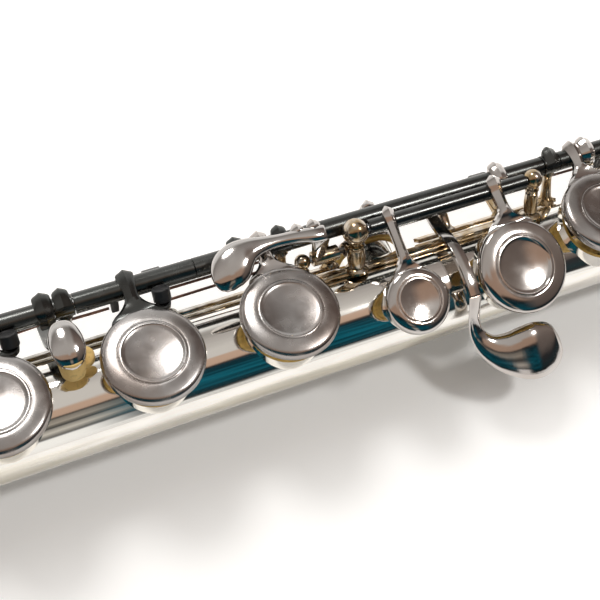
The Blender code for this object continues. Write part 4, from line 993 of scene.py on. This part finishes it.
class FLUTE_OT_trill_keys(bpy.types.Operator):
    """D and E flat trill keys with domed touches, corks and small cups"""

    bl_idname = "flute.trill_keys"
    bl_label = "Trill keys"

    def execute(self, context):
        for name, touch_x in (("trill_d", middle("trill_cork").x / MM), ("trill_e_flat", -178.9)):
            body, cup_x = name + "_key", hole_x(name + "_pad")
            low, high = reach(body)
            arm_x = touch_x - 2.2
            lever = at_x(arm_x, (17.4, 3.0, 1.2, 0.4, 0.7), (15.2, 4.6, 1.2, 0.4, 0.7),
                         (12.3, 7.4, 1.2, 0.4, 0.7), (9.8, 10.6, 1.2, 0.4, 0.7))
            lever += [(arm_x + 0.4, 8.4, 13.4, 1.3, 0.4, 0.7), (touch_x - 0.6, 7.2, 16.0, 1.5, 0.4, 0.5)]
            if name == "trill_d":
                axle = hinge_barrel(low, 46.8, TRILL, SLIM_TUBE, SLIM_BORE)
            else:
                axle = rod(0.9, low, high, TRILL)
            shapes = [axle, arm(cup_x, TRILL, SMALL_CUP, BACK_TURN, 1.2, 0.6, 1.6),
                      cup(cup_x, SMALL_CUP, 3.4, BACK_TURN)]
            settle(joined(*shapes), name + "_lever", body, "bright", body)
            settle(sweep(lever, strap_bar), name + "_arm", body, "dark")
            touch = at_x(touch_x, (11.0, 16.6, 0.5, 0.2, 0.2), (10.4, 16.8, 1.7, 0.6, 0.4),
                         (9.0, 16.9, 2.6, 1.1, 0.5), (6.6, 17.0, 3.1, 1.4, 0.5),
                         (4.2, 16.9, 2.75, 1.2, 0.5), (2.6, 16.7, 1.8, 0.7, 0.4),
                         (1.9, 16.5, 0.5, 0.2, 0.2))
            settle(sweep(touch, dome, 5), name + "_touch", body, "bright")
            post_profile = [(0, 0), (2.05, 0), (2.15, 0.05), (2.4, 0.6), (2.6, 0.97), (2.5, 1), (0, 1)]
            disc_profile = [(0, 0), (1.9, 0), (2.0, 0.1), (2.0, 0.9), (1.9, 1), (0, 1)]
            bumper = joined(pillar(post_profile, (touch_x, 2.6, 12.0), (touch_x, 4.6, 16.5)),
                            pillar(disc_profile, (touch_x + 2.4, 4.7, 11.0), (touch_x + 2.4, 5.0, 12.4)))
            nodes = ("trill_cork",) if name == "trill_d" else ()
            settle(bumper, name + "_bumper", body, "cork", *nodes)
            skin = pad_disc(cup_x, SMALL_CUP, BACK_TURN)
            settle(skin, name + "_pad_skin", body, "pad", name + "_pad")
        return {"FINISHED"}


class FLUTE_OT_thumb_keys(bpy.types.Operator):
    """B thumb key and B flat thumb lever on the player's side"""

    bl_idname = "flute.thumb_keys"
    bl_label = "Thumb keys"

    def execute(self, context):
        y, z = unturned(THUMB, BACK_TURN)
        radius = 8.4
        riser = at_x(14.8, (y, z + 1.2, 1.5, 0.4, 0.6), (4.2, 16.9, 1.6, 0.4, 0.6),
                     (2.4, 14.8, 1.7, 0.4, 0.6))
        riser += [(13.0, 0.9, 14.2, 1.9, 0.4, 0.6), (9.0, -0.4, 14.1, 2.5, 0.4, 0.6),
                  (5.0, -0.7, 14.1, 3.2, 0.3, 0.5)]
        touch = [(-4.0, 0.7, 14.0, 2.3, 0.4, 0.5), (-9.0, 0.9, 14.1, 2.2, 0.5, 0.6),
                 (-13.0, 1.0, 14.2, 3.0, 0.6, 0.6), (-17.0, 1.0, 14.2, 4.4, 0.7, 0.6),
                 (-21.5, 1.0, 14.2, 4.7, 0.7, 0.6), (-25.6, 1.0, 14.1, 3.8, 0.6, 0.5),
                 (-28.0, 1.0, 14.0, 1.9, 0.4, 0.4), (-28.7, 1.0, 13.9, 0.5, 0.2, 0.2)]
        thumb = joined(sweep(riser, strap_bar), sweep(touch, dome), cup(C_X, radius, 5.4))
        thumb = joined(turned(thumb, BACK_TURN), hinge_barrel(12.9, 20.9, THUMB, SLIM_TUBE, SLIM_BORE))
        settle(thumb, "b_thumb_lever", "b_thumb_key", "bright", "b_thumb_key")
        skin = pad_disc(C_X, radius, BACK_TURN)
        settle(skin, "b_thumb_pad_skin", "b_thumb_key", "pad", "b_thumb_pad")
        riser = at_x(24.6, (y, z + 1.1, 1.4, 0.3, 0.5), (4.4, 16.9, 1.4, 0.3, 0.5),
                     (2.6, 15.9, 1.5, 0.3, 0.5))
        touch = [(18.0, 0.8, 15.5, 0.5, 0.2, 0.2), (18.9, 0.8, 15.6, 1.9, 0.4, 0.4),
                 (21.0, 0.8, 15.7, 2.8, 0.5, 0.5), (24.6, 0.8, 15.7, 3.5, 0.5, 0.5),
                 (27.2, 0.8, 15.6, 3.0, 0.4, 0.4), (28.8, 0.8, 15.5, 1.4, 0.2, 0.2)]
        lever = joined(turned(joined(sweep(riser, strap_bar), sweep(touch, dome)), BACK_TURN),
                       hinge_barrel(21.25, 27.9, THUMB, SLIM_TUBE, SLIM_BORE))
        settle(lever, "b_flat_thumb_touch", "b_flat_thumb_lever", "bright", "b_flat_thumb_lever")
        return {"FINISHED"}


class FLUTE_OT_foot_keys(bpy.types.Operator):
    """Low C, C sharp and E flat keys of the foot, with their rollers"""

    bl_idname = "flute.foot_keys"
    bl_label = "Foot keys"

    def execute(self, context):
        radius, dish = mm(sizes().cup_radius), mm(sizes().dish_radius)
        low_roll, high_roll = reach("low_c_roller")
        rollers = {"low_c_sharp": (-17.4, 9.6, -242.0), "low_c": (-21.6, 9.6, -236.3)}
        for name, (ry, rz, fork_x) in rollers.items():
            body, x = name + "_key", hole_x(name + "_pad")
            fork = at_x(fork_x, (16.9, 13.0, 0.7, 0.4, 0.0, 0.4), (15.2, 14.3, 1.4, 0.6, 0.0, 0.9),
                        (9.0, 15.6, 1.3, 0.6, 0.0, 0.8), (0.0, 16.2, 1.3, 0.6, 0.0, 0.8),
                        (-9.0, 14.8, 1.3, 0.6, 0.0, 0.8), (-14.4, 12.4, 1.3, 0.5, 0.0, 0.7),
                        (ry + 0.2, rz + 0.5, 1.2, 0.4, 0.0, 0.6))
            shapes = [sweep(fork, ridge), arm(x, MAIN, radius),
                      rod(0.6, low_roll - 1.2, fork_x + 0.6, (ry, rz)),
                      rod(1.3, high_roll + 0.3, fork_x + 0.8, (ry, rz)),
                      rod(1.3, low_roll - 1.4, low_roll - 0.3, (ry, rz))]
            if name == "low_c":
                shapes += [rod(0.9, -305.2, -229.4, MAIN), rod(1.95, -300.9, -285.5, MAIN),
                           rod(1.95, -238.6, -233.8, MAIN)]
            else:
                shapes += [hinge_barrel(-285.0, -239.1, MAIN, 1.95, SLIM_BORE)]
            settle(joined(*shapes), name + "_arm", body, "bright", body)
            settle(cup(x, radius, dish), name + "_cup", body, "key")
            settle(pad_disc(x, radius), name + "_pad_skin", body, "pad", name + "_pad")
            roller = opened(pipe(1.7, 0.9, low_roll, high_roll, (ry, rz), 36, 0.35), body)
            settle(roller, name + "_roller_skin", name + "_roller", "bright", name + "_roller")
        x = hole_x("e_flat_pad")
        touch = [(-224.0, -13.2, 11.3, 2.2, 0.4, 0.6), (-224.0, -16.0, 9.6, 2.6, 0.5, 0.6),
                 (-224.2, -17.8, 8.3, 4.2, 0.6, 0.6), (-224.6, -19.6, 7.8, 5.6, 0.7, 0.6),
                 (-225.0, -21.6, 7.6, 5.2, 0.6, 0.5), (-225.3, -23.2, 7.4, 3.2, 0.4, 0.4),
                 (-225.4, -23.9, 7.3, 1.0, 0.2, 0.2)]
        shapes = [arm(x, E_FLAT, radius), hinge_barrel(-236.2, -220.9, E_FLAT, 1.6, SLIM_BORE),
                  sweep(touch, dome)]
        settle(joined(*shapes), "e_flat_lever", "e_flat_key", "bright", "e_flat_key")
        settle(cup(x, radius, dish), "e_flat_cup", "e_flat_key", "key")
        settle(pad_disc(x, radius), "e_flat_pad_skin", "e_flat_key", "pad", "e_flat_pad")
        return {"FINISHED"}


class FLUTE_OT_head_joint(bpy.types.Operator):
    """Head tube, lip plate on its riser, stopper and crown"""

    bl_idname = "flute.head_joint"
    bl_label = "Head joint"

    def execute(self, context):
        low, high = reach("head_tube")
        wide = mm(sizes().tube_radius)
        narrow = wide - (high - low) / (MOUTH_X - low)
        profile = [(wide, low), (narrow, high), (narrow - TUBE_WALL, high), (wide - TUBE_WALL, low)]
        tube = along_x(lathe(profile, FINE, loop=True))
        tube = cut(tube, mouth_column(6.5, 5.6, 4, 14), "DIFFERENCE")
        settle(tube, "head_tube_skin", "head_joint", "silver", "head_tube")
        riser = cut(mouth_column(7.4, 6.5, 6, 14), mouth_column(6.1, 5.2, 4, 16), "DIFFERENCE")
        for radius, operation in ((9.2, "DIFFERENCE"), (12.7, "INTERSECT")):
            riser = cut(riser, rod(radius, MOUTH_X - 20, MOUTH_X + 20, steps=FINE), operation)
        settle(riser, "mouth_riser_skin", "head_joint", "silver", "mouth_riser")
        plate = cut(lip_plate(), mouth_column(6.1, 5.2, 4, 20), "DIFFERENCE")
        settle(plate, "lip_plate_skin", "head_joint", "silver", "lip_plate", sharp=50)
        low, end = reach("crown")
        crown = [(0, end), (3.0, end - 0.1), (6.0, end - 0.9), (7.9, end - 2.2), (8.9, end - 4.0),
                 (9.2, end - 6.0), (9.1, end - 9.0), (8.8, end - 11.0), (9.3, end - 12.0),
                 (9.8, end - 12.6), (9.8, end - 13.4), (9.5, end - 13.7), (9.8, end - 14.0),
                 (9.8, end - 15.3), (9.5, end - 15.6), (7.9, end - 15.7), (7.9, low), (1.9, low),
                 (1.9, 319.0), (0, 319.0)]
        settle(along_x(lathe(crown, FINE)), "crown_skin", "crown", "silver", "crown")
        low, high = reach("stopper_cork")
        stopper = pipe(8.05, 1.9, low, high, steps=48, edge=0.4)
        settle(stopper, "stopper_cork_skin", "head_joint", "cork", "stopper_cork")
        low, high = reach("stopper_screw")
        screw = joined(rod(8.1, low, low + 1.3, steps=48), rod(1.55, low + 1.0, high))
        settle(screw, "stopper_screw_skin", "head_joint", "silver", "stopper_screw")
        return {"FINISHED"}


def mouth_column(half_long, half_wide, low, high):
    """Upright oval column at the mouth hole."""
    bm = lathe([(0, high), (1, high), (1, low), (0, low)], 64)
    bm.transform(Matrix.Translation((MOUTH_X, 0, 0)) @ Matrix.Diagonal((half_long, half_wide, 1, 1)))
    return bm


def lip_plate():
    """Oval plate bent round the tube, sinking closer to the tube towards its long ends."""
    bm = bmesh.new()
    bmesh.ops.create_grid(bm, x_segments=40, y_segments=40, size=1)
    for vert in bm.verts:
        u, v = vert.co.x, vert.co.y
        along, around = u * math.sqrt(1 - v * v / 2), v * math.sqrt(1 - u * u / 2)
        turn = around * math.radians(74)
        radius = 12.85 - 0.9 * abs(along) ** 3
        vert.co = (MOUTH_X + along * 24, radius * math.sin(turn), radius * math.cos(turn))
    bmesh.ops.recalc_face_normals(bm, faces=bm.faces)
    bmesh.ops.solidify(bm, geom=bm.faces[:], thickness=0.85)
    bmesh.ops.recalc_face_normals(bm, faces=bm.faces)
    return bm


class FLUTE_OT_stage(bpy.types.Operator):
    """Pale floor with a painted glow and a painted shadow band, soft light, surroundings for the silver to
    mirror, and the camera
    """

    bl_idname = "flute.stage"
    bl_label = "Stage"

    def execute(self, context):
        scene = context.scene
        bm = bmesh.new()
        bmesh.ops.create_grid(bm, x_segments=1, y_segments=1, size=6)
        mesh = bpy.data.meshes.new("floor")
        bm.to_mesh(mesh)
        bm.free()
        floor = bpy.data.objects.new("floor", mesh)
        scene.collection.objects.link(floor)
        scene.view_settings.view_transform = "Standard"
        made, tree, principled = shader("floor_paper", scene.flute_colours.floor, 0.0, 0.9)
        principled.inputs["Specular IOR Level"].default_value = 0.1
        principled.inputs["Emission Color"].default_value = (1, 0.995, 0.98, 1)
        # The floor glows, a painted fill light that keeps it white and lightens the shadows; in a soft band
        # close in front of the flute, and not past its ends, it glows less, a painted contact shadow.
        place = position(tree)
        glow_outside_painted_shadow = blend_range(tree, place["Y"], -0.013, -0.040)
        for side, low, high in (("Y", -0.006, 0.004), ("X", 0.30, 0.37), ("X", -0.30, -0.37)):
            glow_outside_painted_shadow = mix(tree, 1.0, glow_outside_painted_shadow, blend_range(tree, place[side], low, high), "ADD")
        tree.links.new(ramp(tree, glow_outside_painted_shadow, (0.0, 0.04), (1.0, 0.40)), principled.inputs["Emission Strength"])
        mesh.materials.append(made)
        for name, heading, distance, width, power in (
                ("ceiling_lamp", (0.44, -0.03, 0.90), 0.9, 0.13, 2.5),
                ("window", (-0.11, 0.67, 0.73), 1.0, 0.27, 3.4)):
            lamp(name, Vector(heading), distance, width, power)
        surroundings(scene)
        place_camera(scene)
        return {"FINISHED"}


def lamp(name, heading, distance, width, power):
    """Round soft lamp seen from the flute in this direction."""
    light = bpy.data.lights.new(name, "AREA")
    light.shape = "DISK"
    light.size = width
    light.energy = power
    light.color = (1.0, 0.99, 0.97)
    made = bpy.data.objects.new(name, light)
    aim = Vector((-0.10, 0, 0.02))
    made.location = aim + heading.normalized() * distance
    made.rotation_euler = (made.location - aim).to_track_quat("Z", "Y").to_euler()
    bpy.context.scene.collection.objects.link(made)


def surroundings(scene):
    """Room for the silver to mirror: teal, black and tan in front, greys above, white behind."""
    world = bpy.data.worlds.new("studio")
    world.use_nodes = True
    scene.world = world
    tree = world.node_tree
    heading = position(tree, "Generated")
    angle = tree.nodes.new("ShaderNodeMath")
    angle.operation = "ARCTAN2"
    tree.links.new(heading["Y"], angle.inputs[0])
    tree.links.new(heading["Z"], angle.inputs[1])
    streak = noise(tree, 9, 3, (0.25, 1, 1), "Generated")
    shaken = tree.nodes.new("ShaderNodeMath")
    shaken.operation = "MULTIPLY_ADD"
    tree.links.new(streak, shaken.inputs[0])
    shaken.inputs[1].default_value = 0.16
    tree.links.new(angle.outputs["Value"], shaken.inputs[2])
    around = tree.nodes.new("ShaderNodeMapRange")
    around.inputs["From Min"].default_value = 0.08 + math.pi / 2
    around.inputs["From Max"].default_value = 0.08 - math.pi / 2
    tree.links.new(shaken.outputs["Value"], around.inputs["Value"])
    turn = around.outputs["Result"]
    white, grey, tan = (1.0, 0.99, 0.97), (0.60, 0.57, 0.54), (0.52, 0.36, 0.27)
    teal = ramp(tree, turn, (0.0, white), (0.14, white), (0.22, (0.30, 0.28, 0.26)),
                (0.34, (0.46, 0.43, 0.41)), (0.46, grey), (0.535, grey), (0.56, tan), (0.63, tan),
                (0.65, (0.015, 0.015, 0.018)), (0.70, (0.008, 0.07, 0.10)), (0.80, (0.008, 0.13, 0.185)),
                (0.90, (0.008, 0.07, 0.10)), (0.955, (0.015, 0.02, 0.02)), (0.975, white))
    plain = ramp(tree, turn, (0.0, white), (0.14, white), (0.24, (0.35, 0.33, 0.31)), (0.40, grey),
                 (0.56, grey), (0.58, tan), (0.64, tan), (0.66, (0.03, 0.03, 0.03)),
                 (0.71, (0.45, 0.40, 0.34)), (0.76, (0.04, 0.04, 0.04)), (0.83, (0.62, 0.58, 0.52)),
                 (0.87, (0.08, 0.08, 0.08)), (0.91, white))
    brown = ramp(tree, turn, (0.0, white), (0.12, white), (0.20, (0.12, 0.10, 0.09)),
                 (0.33, (0.22, 0.17, 0.15)), (0.48, (0.30, 0.25, 0.22)), (0.60, (0.22, 0.18, 0.16)),
                 (0.72, (0.16, 0.13, 0.115)), (0.80, (0.03, 0.03, 0.032)), (0.88, (0.02, 0.035, 0.04)),
                 (0.95, (0.02, 0.02, 0.02)), (0.97, white))
    bands = ramp(tree, noise(tree, 24, 2, (0.2, 1, 1), "Generated"), (0.42, 0.35), (0.56, 1.0))
    teal = mix(tree, blend_range(tree, turn, 0.64, 0.68), teal, mix(tree, 1.0, teal, bands, "MULTIPLY"))
    along = heading["X"]
    colour = mix(tree, blend_range(tree, along, -0.10, -0.03), teal, plain)
    colour = mix(tree, blend_range(tree, along, 0.05, 0.13), colour, teal)
    colour = mix(tree, blend_range(tree, along, 0.33, 0.50), colour, brown)
    background = tree.nodes["Background"]
    tree.links.new(colour, background.inputs["Color"])
    background.inputs["Strength"].default_value = 1.0


def place_camera(scene):
    """Camera close above the right hand keys, looking down along the flute."""
    camera_data = bpy.data.cameras.new("camera")
    camera_data.lens = 61.51
    camera_data.sensor_width = 36
    camera_data.clip_start = 0.01
    camera = bpy.data.objects.new("camera", camera_data)
    right = Vector((0.91479, -0.35993, 0.18333))
    up = Vector((0.28662, 0.89821, 0.33325))
    back = right.cross(up)
    place = AXIS + Vector((-161.63, -45.63, 189.97)) * MM
    turn = Matrix((right, up, back)).transposed().to_4x4()
    camera.matrix_world = Matrix.Translation(place) @ turn
    scene.collection.objects.link(camera)
    scene.camera = camera


class FLUTE_PT_panel(bpy.types.Panel):
    """Lists the flute's pieces in the sidebar"""

    bl_idname = "FLUTE_PT_panel"
    bl_label = "Concert flute"
    bl_space_type = "VIEW_3D"
    bl_region_type = "UI"
    bl_category = "Flute"

    def draw(self, context):
        for operator in OPERATORS:
            self.layout.operator(operator.bl_idname)


OPERATORS = (FLUTE_OT_tubes, FLUTE_OT_ribs, FLUTE_OT_stack_keys, FLUTE_OT_clutches, FLUTE_OT_springs,
             FLUTE_OT_c_key, FLUTE_OT_b_flat_lever, FLUTE_OT_g_key, FLUTE_OT_g_sharp_key,
             FLUTE_OT_trill_keys, FLUTE_OT_thumb_keys, FLUTE_OT_foot_keys, FLUTE_OT_head_joint,
             FLUTE_OT_stage)
CLASSES = (FluteSizes, FluteColours, *OPERATORS, FLUTE_PT_panel)


def register():
    for cls in CLASSES:
        bpy.utils.register_class(cls)
    bpy.types.Scene.flute_sizes = bpy.props.PointerProperty(type=FluteSizes)
    bpy.types.Scene.flute_colours = bpy.props.PointerProperty(type=FluteColours)


def unregister():
    del bpy.types.Scene.flute_colours
    del bpy.types.Scene.flute_sizes
    for cls in reversed(CLASSES):
        bpy.utils.unregister_class(cls)


def main():
    register()
    for operator in OPERATORS:
        group, name = operator.bl_idname.split(".")
        getattr(getattr(bpy.ops, group), name)()
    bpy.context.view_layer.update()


if __name__ == "__main__":
    main()
